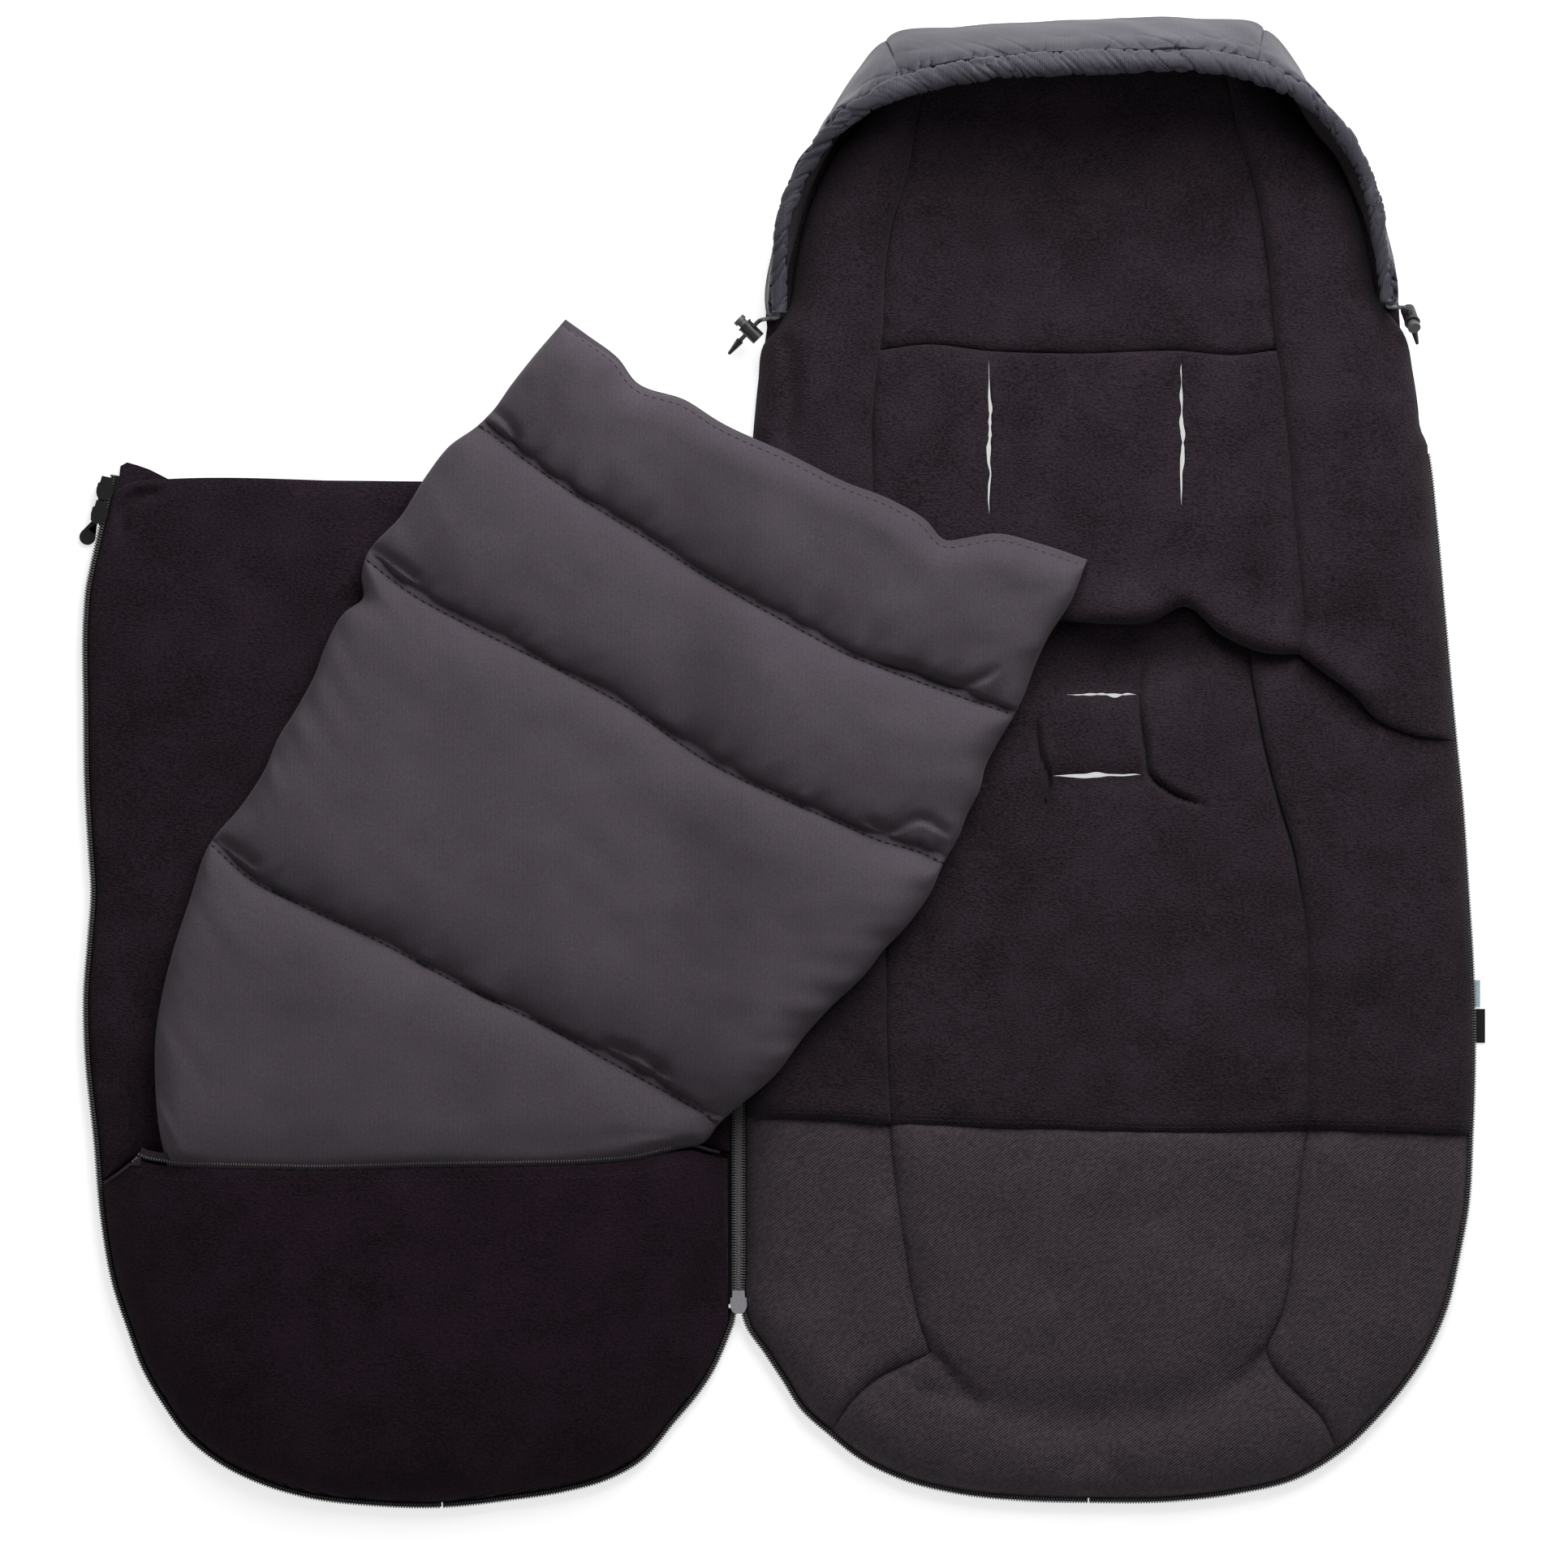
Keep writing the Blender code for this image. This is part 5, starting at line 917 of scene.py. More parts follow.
def copy_of(node, name, finish, bevel, body="liner", merged=True):
    """A copy of a node's own shape with rounded edges, in its place."""
    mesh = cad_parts[node].data.copy()
    mesh.materials.clear()
    mesh.materials.append(finish)
    if merged:
        merge(mesh)
    piece = linked(name, mesh)
    modifier = piece.modifiers.new("rounded", "BEVEL")
    modifier.width = bevel
    modifier.segments = ROUNDED_SEGMENTS
    modifier.limit_method = "ANGLE"
    modifier.angle_limit = ROUNDED_ANGLE
    modifier.harden_normals = merged
    mesh.shade_smooth()
    if merged:
        mesh.set_sharp_from_angle(angle=ROUNDED_ANGLE)
    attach(piece, body)
    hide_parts(node)
    return piece


SIDE_SLIDER_PX = (910, 1612)
SLIDER_ROOM_SHARE = 0.35
SLIDER_ROOM_START = 0.014
SLIDER_ROOM_RISE = 0.036
POCKET_SWELLS = ((0.0012, 0.070, 95), (0.0004, 0.024, 96))
POCKET_SWELL_REACH = 0.03


class Pocket:
    """The arch of the pocket's panel, as heights over plan points."""

    @classmethod
    def sides(cls):
        whole = inset(COVER.part(COVER_POCKET_LEFT, COVER_END), PAD_INSET, COVER_MIDDLE)
        corner_l, corner_r = POCKET_CORNER_SHARES
        end = np.array([COVER(1.0)[0] - PAD_INSET, plan(LIP_PX[-1])[1]])

        def right(share):
            share = np.asarray(share, float)
            span = whole(corner_r + (1 - corner_r) * np.minimum(share * 2, 1.0))
            return span + (end - whole(1.0)) * np.maximum(share * 2 - 1, 0.0)[..., None]

        left = backwards(shortened(lambda s: whole(np.asarray(s) * corner_l), POCKET_LEFT_DROP, 0.0))
        return (left, right, lambda s: whole(corner_l + (corner_r - corner_l) * np.asarray(s)),
                trimmed(curve_px(LIP_PX), left(1.0), end))

    @classmethod
    def prepare(cls):
        left, right, lower, upper = cls.sides()
        shares = np.linspace(0.0, 1.0, 90)
        cls.closed = np.concatenate([side(shares) for side in (left, lower, right)])
        cls.mouth = upper(shares)

    @classmethod
    def mouth_y(cls, x):
        return np.interp(x, cls.mouth[:, 0], cls.mouth[:, 1])

    @classmethod
    def top(cls, grid):
        flat = grid.reshape(-1, 2)
        inside = np.linalg.norm(flat[:, None] - cls.closed[None], axis=2).min(axis=1)
        inside = inside.reshape(grid.shape[:-1])
        x, y = grid[..., 0], grid[..., 1]
        depth = np.maximum(cls.mouth_y(x) - y, 0.0)
        share = POCKET_MOUTH_HEIGHT / POCKET_CROWN
        lift = share + (1.0 - share) * rounding(depth, MOUTH_ROUNDING)
        uneven = layered(x, y, POCKET_SWELLS) * rounding(inside, POCKET_SWELL_REACH)
        room = np.linalg.norm(grid - plan(SIDE_SLIDER_PX), axis=-1)
        clear = smooth_step((room - SLIDER_ROOM_START) / SLIDER_ROOM_RISE)
        lift = lift * (SLIDER_ROOM_SHARE + (1 - SLIDER_ROOM_SHARE) * clear)
        return POCKET_EDGE + (POCKET_CROWN - POCKET_EDGE) * lift * rounding(inside, POCKET_ROUNDING) + uneven


INSERT_OVER_COVER = 0.0128
INSERT_OVER_LINER = 0.0282
INSERT_IN_POCKET = 0.0026
INSERT_CROWN = 0.0270
INSERT_SEAM = 0.0058
INSERT_SEAM_LIFT = 0.0050
INSERT_STRIP = 0.0042
INSERT_LEAST = 0.0035
SOFT_MEET = 0.004
CEILING_GAP = 0.0010
CEILING_SLOPE = 1.4
POCKETED_LEAST = 0.002
SIDE_ROUNDING = 0.026
LOWER_ROUNDING = 0.050
UPPER_ROUNDING = 0.040
HEM_ROUNDING = 0.022
LEVEL_ROUNDING = 0.020
HEM_CORNER_DIP = 0.0050
HEM_CORNER_REACH = (0.045, 0.060)
SEAM_SINK = 0.0014
SEAM_SINK_WIDTHS = (0.0012, 0.0026)
CLIMB_START = 0.045
CLIMB_LENGTH = 0.067
SINK_START = 0.030
SINK_LENGTH = 0.060
SECTION_ROWS = (70, 70, 100, 110)
SECTION_COLUMNS = 190
FOLD_DEPTH = 0.0045
INSERT_FOLD_WIDTH = 0.0032
COVER_FOLD_WIDTH = 0.0034

# Ridges at the insert's seams: lean, stretch, cell, seed, height, width of fading and of rising
LOWER_RIDGES = ((0.3, 0.25, 0.010, 80, 0.0028, 0.014, 0.004), (-0.2, 0.3, 0.0055, 84, 0.0016, 0.008, 0.002))
UPPER_RIDGES = (-0.2, 0.2, 0.009, 90, 0.0013, 0.012, 0.003)
SIDE_RIDGES = (0.4, 0.3, 0.012, 96, 0.0034, 0.016, 0.005)


def insert_base(grid):
    """Height of the insert's underside: over the cover, up over the liner, and down into the pocket."""
    climb = smooth_step((grid[..., 0] - ZIP_LINE + CLIMB_START) / CLIMB_LENGTH)
    height = INSERT_OVER_COVER + (INSERT_OVER_LINER - INSERT_OVER_COVER) * climb
    above_mouth = grid[..., 1] - Pocket.mouth_y(grid[..., 0])
    sink = smooth_step((SINK_START - above_mouth) / SINK_LENGTH)
    return height + (INSERT_IN_POCKET - height) * sink


def lower_of(first, second, reach):
    """The lower of two heights, with a rounded meeting."""
    gap = np.clip(0.5 + (second - first) / (2 * reach), 0.0, 1.0)
    return second + (first - second) * gap - reach * gap * (1 - gap)


def seam_ridges(place, distance, number, lean, stretch, cell, seed, height, fade, start):
    """Ridges that leave a seam slantwise, rise near it and fade away from it."""
    ridge = noise(place + lean * distance, distance * stretch, cell, seed + number)
    return height * ridge * np.exp(-np.maximum(distance, 0.0) / fade) * rounding(distance, start)


def quilted(grid, number):
    """Padding depth of one section: it swells from its upper seam and drops into a wandering crease."""
    reach = reaches(grid)
    first, last = number == 0, number == 3
    place = reach[0]
    width = INSERT_STRIP * (1.0 + 0.45 * noise(place, 0.0, 0.028, 200 + number))
    width = width + 0.0022 * np.maximum(noise(place, 0.0, 0.011, 210 + number) - 0.35, 0.0)
    rise = reach[2] - (0.0 if last else width)
    top = reach[3]
    if first:
        corner = np.exp(-place / HEM_CORNER_REACH[0]) + np.exp(-(place[:, -1:] - place) / HEM_CORNER_REACH[1])
        top = reach[3] - HEM_CORNER_DIP * np.minimum(corner, 1.0)
    swell = rounding(reach[0], SIDE_ROUNDING) * rounding(reach[1], SIDE_ROUNDING)
    swell = swell * rounding(rise, LOWER_ROUNDING) * rounding(top, HEM_ROUNDING if first else UPPER_ROUNDING)
    level = rounding(reach[0], LEVEL_ROUNDING) * rounding(reach[1], LEVEL_ROUNDING)
    if first:
        level = level * rounding(reach[3], LEVEL_ROUNDING)
    level = INSERT_SEAM + INSERT_SEAM_LIFT * level
    depth = level + (INSERT_CROWN - level) * swell
    swells = ((0.0016, 0.050, 60 + number), (0.0007, 0.018, 70 + number))
    depth += layered(grid[..., 0], grid[..., 1], swells) * swell
    if not last:
        depth -= SEAM_SINK * np.exp(-(rise / np.where(rise > 0, *SEAM_SINK_WIDTHS)) ** 2)
    for ridges in LOWER_RIDGES:
        depth += seam_ridges(place, rise, number, *ridges)
    depth += seam_ridges(place, top, number, *UPPER_RIDGES)
    for side in reach[:2]:
        depth += seam_ridges(reach[2], side, number, *SIDE_RIDGES)
    for line in INSERT_FOLDS_PX[number]:
        depth += crease(grid, line, FOLD_DEPTH, INSERT_FOLD_WIDTH, 0.4)
    return np.maximum(depth, INSERT_LEAST)


def insert():
    """The quilted insert: four puffed sections between sewn lines, over the cover and the liner."""
    left, right = curve_px(INSERT_LEFT_PX), curve_px(INSERT_RIGHT_PX)
    lines = [curve_px(line) for line in INSERT_LINES_PX]
    grids, depths = [], []
    for number, rows in enumerate(SECTION_ROWS):
        side_l = left.part(INSERT_LEFT_MARKS[number], INSERT_LEFT_MARKS[number + 1])
        side_r = right.part(INSERT_RIGHT_MARKS[number], INSERT_RIGHT_MARKS[number + 1])
        sides = backwards(side_l), backwards(side_r), lines[number + 1], lines[number]
        grid = coons(sides, SECTION_COLUMNS, rows)
        depth = quilted(grid, number)
        shared = 0 if number == 0 else 1
        grids.append(grid[::-1][shared:])
        depths.append(depth[::-1][shared:])
    grid, depth = np.concatenate(grids)[::-1], np.concatenate(depths)[::-1]
    base = insert_base(grid)
    above_mouth = grid[..., 1] - Pocket.mouth_y(grid[..., 0])
    ceiling = PAD_BASE + Pocket.top(grid) - POCKET_SKIN - CEILING_GAP
    ceiling = ceiling + CEILING_SLOPE * np.maximum(above_mouth, 0.0)
    tops = np.maximum(lower_of(base + depth, ceiling, SOFT_MEET), base + POCKETED_LEAST)
    piece = grid_solid("insert_quilt", grid, tops, base, QUILT)
    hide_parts("insert_pad")
    return piece


LINING_HEIGHT = 0.0075
LINING_LEAST = 0.002
LINING_ROUNDING = 0.020
LINING_SWELLS = ((0.0010, 0.060, 90), (0.0004, 0.022, 91))
LINING_STEPS = 110
PANEL_STEPS = (130, 90)


def cover():
    """The cover's fleece lining and the pocket's panel."""
    down = line_between(plan(COVER_CORNER_PX), plan(LINING_END_PX[-1]))
    edge = inset(COVER.part(0, COVER_POCKET_LEFT + 1), PAD_INSET, COVER_MIDDLE)
    edge = shortened(edge, 0.0, LINING_END_GAP)
    corner = np.array(COVER_CORNER_CUT)

    def left(share):
        return edge(share) + corner * (1.0 - rounding(share, COVER_CORNER_SHARE))[..., None]

    right = inset(down, PAD_INSET, COVER_MIDDLE)
    top = trimmed(curve_px(COVER_TOP_PX), left(0.0), right(0.0))
    bottom = trimmed(curve_px(LINING_END_PX), left(1.0), right(1.0))
    grid = coons((backwards(left), backwards(right), bottom, top), LINING_STEPS, LINING_STEPS)
    share = math.prod(rounding(distance, LINING_ROUNDING) for distance in reaches(grid))
    heights = PAD_EDGE + (LINING_HEIGHT - PAD_EDGE) * share
    heights += layered(grid[..., 0], grid[..., 1], LINING_SWELLS) * share
    heights += puckers(grid, 0.0008, 0.016, 0.016, 92)
    for line in COVER_FOLDS_PX:
        heights += crease(grid, line, FOLD_DEPTH, COVER_FOLD_WIDTH)
    lining = grid_solid("cover_fleece_lining", grid, PAD_BASE + np.maximum(heights, LINING_LEAST),
                        np.full_like(heights, PAD_BASE), COVER_FLEECE, "cover")
    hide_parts("cover_lining")

    grid = coons(Pocket.sides(), *PANEL_STEPS)
    tops = PAD_BASE + Pocket.top(grid)
    unders = np.maximum(tops - POCKET_SKIN, PAD_BASE)
    # The panel wears the darker fleece, whose colour is painted shade.
    panel = grid_solid("pocket_fleece_painted_shade", grid, tops, unders, POCKET_FLEECE_PAINTED_SHADE, "cover")
    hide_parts("pocket_panel")
    return panel


def shares_of(table, share):
    """Values of a table of shares, joined smoothly."""
    marks, values = (np.array(column) for column in zip(*table))
    i = np.clip(np.searchsorted(marks, share, side="right") - 1, 0, len(marks) - 2)
    t = (share - marks[i]) / (marks[i + 1] - marks[i])
    return values[i] + (values[i + 1] - values[i]) * t * t * (3 - 2 * t)


HOOD = curve_px(HOOD_OUTLINE_PX)
RIM_INNER = curve_px(RIM_INNER_PX)
HOOD_MIDDLE = plan((1330, 400))
HOOD_NORMAL_STEP = 0.03
WALL_GAP = 0.0004


def rim_centre(share):
    """Plan point, height and radius of the gathered channel."""
    radius = RIM_END_RADIUS + (RIM_RADIUS - RIM_END_RADIUS) * shares_of(RIM_RADIUS_SHARES, share)
    crest = HOOD_END_HEIGHT + (HOOD_CREST_HEIGHT - HOOD_END_HEIGHT) * shares_of(RIM_HEIGHT_SHARES, share)
    normal = inward(RIM_INNER, share, HOOD_MIDDLE, HOOD_NORMAL_STEP)
    return RIM_INNER(share) - normal * radius[..., None], crest - radius, radius


def wall_face(shares, ts, offset, lift=0.0):
    """Points of the hood's wall at an offset from its middle line: rows go round, columns go up."""
    normal = inward(HOOD, shares, HOOD_MIDDLE, HOOD_NORMAL_STEP)[:, None]
    top_plan, top_height, radius = rim_centre(shares)
    foot = HOOD(shares)[:, None] + normal * (HOOD_SEAT_INSET + HOOD_WALL_TOP / 2)
    knee = HOOD(shares)[:, None] + normal * HOOD_BULGE_INSET
    top_z = (top_height - radius - WALL_GAP)[:, None]
    knee_z = PAD_BASE + (top_z - PAD_BASE) * HOOD_KNEE_SHARE
    t = ts[None, :]
    a, b, c = (1 - t) ** 2, 2 * t * (1 - t), t * t
    flat = a[..., None] * foot + b[..., None] * knee + c[..., None] * top_plan[:, None]
    heights = a * PAD_BASE + b * knee_z + c * top_z + lift
    return np.concatenate([flat + normal * offset[..., None], heights[..., None]], axis=2)


def valleys(field, width):
    """Narrow dents where a noise field passes through zero, as where cloth gathers."""
    return np.exp(-(field / width) ** 2)


RIM_SEAM_SHARES = [(0.0, 0.0), (0.18, 0.05), (0.36, 1.0), (0.64, 1.0), (0.80, 0.05), (1.0, 0.0)]
HOOD_STEP = 0.0012
HOOD_HEIGHT_RUN = 0.085
WALL_SEAM_WIDTH = 0.016
WALL_STEPS = (20, 26)
ROLL_START = 0.45
ROLL_LENGTH = 0.5
FOLD_CELL = 0.021
SWELL_CELL = 0.045
TUCK_CELL = 0.0070
LINE_CELL = 0.016
FOLD_DEPTH_OUT = 0.0014
SWELL_DEPTH = 0.0012
FOLD_LIFT = 0.0016
LINE_DEPTH = 0.0016
TUCK_DEPTH = 0.0040
GATHER_REACH = 0.011
GATHER_START = 0.002
BELLY_DEPTH = 0.0028
BELLY_MIDDLE = 0.12
BELLY_WIDTH = 0.14
RIDGE_DROP = 0.012
RIDGE_WIDTH = 0.010
RIM_SEAM_DEPTH = 0.0040
RIM_SEAM_WIDTH = 0.0016
LINING_GAP = 0.0006
LINING_THICK = 0.0026


def wall_thickness(ts):
    return HOOD_WALL_TOP + (HOOD_WALL - HOOD_WALL_TOP) * 4 * ts * (1 - ts)


def hood_wall(name, number, first, last):
    """One puffy panel of the hood's wall, which rolls over at its top and gathers below the rim."""
    ts = np.concatenate([np.linspace(0.0, 0.7, WALL_STEPS[0]), np.linspace(0.72, 1.0, WALL_STEPS[1])])
    count = int((last - first) * HOOD.length / HOOD_STEP)
    shares = np.linspace(first, last, count)
    run = (shares - first) * HOOD.length
    far = (last - shares) * HOOD.length
    seam = (0.2 + 0.8 * rounding(run, WALL_SEAM_WIDTH) * rounding(far, WALL_SEAM_WIDTH))[:, None]
    half = wall_thickness(ts)[None] / 2
    radius = rim_centre(shares)[2][:, None]
    near = smooth_step((ts - ROLL_START) / ROLL_LENGTH)[None]
    sewn = shares_of(RIM_SEAM_SHARES, shares)[:, None]

    run = run[:, None]
    down = ((1.0 - ts) * HOOD_HEIGHT_RUN)[None]
    fold = noise(run + 0.5 * down, down * 0.5, FOLD_CELL, 110 + number)
    wide = noise(run, down, SWELL_CELL, 115 + number)
    tuck = noise(run - 0.35 * down, down * 0.15, TUCK_CELL, 120 + number)
    line = noise(run + 0.8 * down, down * 0.4, LINE_CELL, 125 + number)
    gather = np.exp(-down / GATHER_REACH) * rounding(down, GATHER_START)
    belly = BELLY_DEPTH * np.exp(-((ts - BELLY_MIDDLE) / BELLY_WIDTH) ** 2)

    outer = half * (1 - near) * seam + near * radius * 0.9 + belly[None]
    folds = FOLD_DEPTH_OUT * fold + SWELL_DEPTH * wide
    outer = outer + folds * seam * (0.4 + ts[None]) * rounding(down, RIDGE_DROP)
    ridge = 0.9 + 0.5 * np.exp(-((down - RIDGE_DROP) / RIDGE_WIDTH) ** 2)
    lift = near * radius * ridge * (0.35 + 0.65 * seam)
    lift = lift - TUCK_DEPTH * valleys(tuck, 0.22) * gather
    lift = lift - RIM_SEAM_DEPTH * np.exp(-(down / RIM_SEAM_WIDTH) ** 2) * sewn
    wrinkles = FOLD_LIFT * fold - LINE_DEPTH * valleys(line, 0.12)
    lift = lift + wrinkles * seam * rounding(down, RIDGE_WIDTH) * near
    outside = wall_face(shares, ts, -outer, lift)
    inside = wall_face(shares, ts, np.repeat(half, count, axis=0))
    rings = np.concatenate([outside, inside[:, ::-1]], axis=1)
    wall = loft(name + "_cloth", rings, HOOD_CLOTH, "liner")
    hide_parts(name)


def hood_lining():
    """The thin fleece inside the wall."""
    shares = np.linspace(0.0, 1.0, 180)
    ts = np.linspace(0.0, 1.0, 29)
    half = wall_thickness(ts)[None] / 2
    ripple = LINING_GAP * noise(shares[:, None] * HOOD.length, ts[None] * 0.05, 0.018, 130)
    near = wall_face(shares, ts, np.broadcast_to(half + LINING_GAP, ripple.shape))
    inner = wall_face(shares, ts, half + LINING_THICK + ripple)
    lining = loft("hood_fleece", np.concatenate([near, inner[:, ::-1]], axis=1), LINER_FLEECE, "liner")
    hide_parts("hood_lining")


RIM_STEPS = 1300
RIM_SIDES = 32
RIM_SLANT = 0.0065
TUCK_SHARE = 0.34
FINE_TUCK_SHARE = 0.24
LUMP_SHARE = 0.13


def hood_rim():
    """The channel on the rim, gathered on its cord into slanting folds."""
    shares = np.linspace(0.0, 1.0, RIM_STEPS)
    centre, height, radius = rim_centre(shares)
    way = inward(RIM_INNER, shares, HOOD_MIDDLE, HOOD_NORMAL_STEP)
    run = shares[:, None] * RIM_INNER.length
    angles = np.linspace(0.0, 2 * math.pi, RIM_SIDES + 1)[None, :-1]
    tight = 1.0 - 0.25 * shares_of(RIM_RADIUS_SHARES, shares)[:, None]
    slant = run - RIM_SLANT * np.cos(angles)
    lump = noise(run, np.sin(angles) * 0.006, 0.012, 140)
    tuck = noise(slant, np.cos(angles) * 0.0035, 0.0088, 141)
    fine = noise(slant + 0.002, np.cos(angles) * 0.003, 0.0046, 142)
    strength = 0.6 + 0.4 * smooth_step(0.5 + noise(run, 0.0, 0.030, 143))
    dents = (TUCK_SHARE * valleys(tuck, 0.10) + FINE_TUCK_SHARE * valleys(fine, 0.12)) * strength * tight
    sizes = radius[:, None] * (1.08 + LUMP_SHARE * lump - dents)
    flat = centre[:, None] + way[:, None] * (sizes * np.cos(angles))[..., None]
    rings = np.concatenate([flat, (height[:, None] + sizes * np.sin(angles))[..., None]], axis=2)
    rim = loft("hood_rim_cloth", rings, HOOD_CLOTH, "liner")
    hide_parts("hood_rim")


def hood():
    """Three puffy wall panels, the lining and the gathered rim."""
    left_seam, right_seam = HOOD.marks[HOOD_LEFT_SEAM], HOOD.marks[HOOD_RIGHT_SEAM]
    hood_wall("hood_side_left", 0, 0.0, left_seam)
    hood_wall("hood_top", 1, left_seam, right_seam)
    hood_wall("hood_side_right", 2, right_seam, 1.0)
    hood_lining()
    hood_rim()


TOOTH_PITCH = 0.00165
TAPE_PITCH = 0.004
TAPE_END_SHARE = 0.35
TOOTH_EDGE = 0.0004
TOOTH_SIDES = (-1, -1, -0.45, 0.45, 1, 1)

# A tooth along its depth: distance from the chain's line, height and half width
COIL_SECTION = [(0.00000, 0.0058, 0.00022), (0.00030, 0.0069, 0.00048), (0.00120, 0.00725, 0.00052),
                (0.00190, 0.0064, 0.00050), (0.00260, 0.00715, 0.00052), (0.00350, 0.0062, 0.00040)]
TAPE_SECTION = [(0.0009, 0.0040), (0.0009, 0.0045), (0.0034, 0.0045), (0.0062, 0.0029), (0.0062, 0.0024),
                (0.0034, 0.0040)]
LIP_TAPE_SECTION = [(0.0009, 0.0040), (0.0009, 0.0046), (0.0028, 0.0050), (0.0058, 0.0050), (0.0058, 0.0044),
                    (0.0028, 0.0040)]


def coil_teeth(name, at, normals, rises, coil, body):
    """Single teeth that stand across a chain's line, all in one mesh."""
    ways = np.stack([normals[:, 1], -normals[:, 0]], axis=1)
    verts, faces = [], []
    for point, normal, way, rise in zip(at, normals, ways, rises):
        faces += prism_faces(len(verts), len(coil), len(TOOTH_SIDES))
        for depth, top, half in coil:
            middle = point + normal * depth
            foot, shoulder = CHAIN_BOTTOM + TOOTH_EDGE, top - TOOTH_EDGE
            for side, height in zip(TOOTH_SIDES, (foot, shoulder, top, top, shoulder, foot)):
                place = middle + way * half * side
                verts.append((place[0], place[1], height + rise))
    new_object(name, verts, faces, COIL_PAINTED_GLINTS, body)


def zip_half(node, curve, centre, body, start_gap=0.0, end_gap=0.0, coil=COIL_SECTION, tape=TAPE_SECTION,
             surface=None, cloth=TAPE, teeth=(0.0, 1.0)):
    """The coil of one zip half on its woven tape. surface gives the heights that it lies on."""
    samples = np.linspace(0.0, 1.0, 400)
    lengths = lengths_along(curve(samples))
    total = lengths[-1]
    places = np.arange(start_gap + TOOTH_PITCH / 2, total - end_gap, TOOTH_PITCH)
    places = places[(places >= teeth[0] * total) & (places <= teeth[1] * total)]
    shares = np.interp(places, lengths, samples)
    at = curve(shares)
    rises = np.zeros(len(at)) if surface is None else surface(at) - CHAIN_BOTTOM
    coil_teeth(node + "_coil", at, inward(curve, shares, centre), rises, coil, body)

    places = np.linspace(start_gap, total - end_gap, int(total / TAPE_PITCH) + 2)
    shares = np.interp(places, lengths, samples)
    at, normals = curve(shares), inward(curve, shares, centre)
    wide = (shares >= teeth[0]) & (shares <= teeth[1])
    spread = np.where(wide, 1.0, TAPE_END_SHARE)[:, None, None]
    flat = at[:, None] + normals[:, None] * np.array([depth for depth, _ in tape])[None, :, None] * spread
    heights = np.broadcast_to([height for _, height in tape], flat.shape[:2])
    if surface is not None:
        heights = heights + surface(flat) - CHAIN_BOTTOM
    woven = loft(node + "_tape", np.concatenate([flat, heights[..., None]], axis=2), cloth, body)
    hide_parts(node)


LIP_COIL_SECTION = [(0.0000, 0.0050, 0.00022), (0.0004, 0.0058, 0.0005), (0.0012, 0.0062, 0.0005),
                    (0.0020, 0.0054, 0.0004)]
LIP_TOOTH_REACH = 0.0021
LIP_END_GAP = 0.005
CHAIN_GAP = 0.0004
TAPE_BEVEL = 0.0003
SIDE_CHAIN_INSET = 0.001
LIP_TEETH_SHARES = (0.055, 0.91)
FOOT_CHAIN_END_PX = (908.5, 1613)
SIDE_CHAIN_END_PX = (908, 1607)


def zips():
    """All zip halves: round the liner and the cover, between them, and at the pocket's mouth."""
    zip_half("liner_zip_left", LINER.part(LEFT_ZIP_TOP, TOE_NOTCH), LINER_MIDDLE, "liner", end_gap=CHAIN_GAP)
    zip_half("liner_zip_right", LINER.part(TOE_NOTCH, RIGHT_ZIP_TOP), LINER_MIDDLE, "liner",
             start_gap=CHAIN_GAP)
    zip_half("cover_zip_free", COVER.part(0, COVER_NOTCH), COVER_MIDDLE, "cover", end_gap=CHAIN_GAP)
    foot = COVER.part(COVER_NOTCH, COVER_END)(np.linspace(0.0, 1.0, 60))
    foot = Curve(np.concatenate([foot, [plan(FOOT_CHAIN_END_PX)]]))
    zip_half("cover_zip_foot", foot, COVER_MIDDLE, "cover", start_gap=CHAIN_GAP)
    side_x = ZIP_LINE - SIDE_CHAIN_INSET
    side_ends = [np.array([side_x, plan(pixel)[1]]) for pixel in (COVER_CORNER_PX, SIDE_CHAIN_END_PX)]
    zip_half("cover_zip_side", line_between(*side_ends), COVER_MIDDLE, "liner")
    joined_teeth()
    lip = Pocket.sides()[3]
    raised = np.array([0.0, LIP_TOOTH_REACH])
    zip_half("pocket_zip_panel", lambda share: lip(share) + raised, COVER_MIDDLE, "cover",
             end_gap=LIP_END_GAP, coil=LIP_COIL_SECTION, tape=LIP_TAPE_SECTION,
             surface=lambda at: PAD_BASE + Pocket.top(at), cloth=BINDING, teeth=LIP_TEETH_SHARES)
    copy_of("pocket_zip_lining", "pocket_zip_lining_tape", TAPE, TAPE_BEVEL, "cover")


JOINED_TOP_PX = 600
JOINED_FOOT_PX = 1588
TOOTH_REACH = 0.0021
TOOTH_FOOT = 0.0048
MESHED_SIDES = 5

# A meshed tooth along its reach: share of the reach, height and half width
MESHED_SECTION = [(-1.0, 0.0052, 0.00026), (-0.75, 0.0066, 0.00044), (0.3, 0.0070, 0.00046),
                  (0.85, 0.0064, 0.0004), (1.0, 0.0054, 0.00024)]


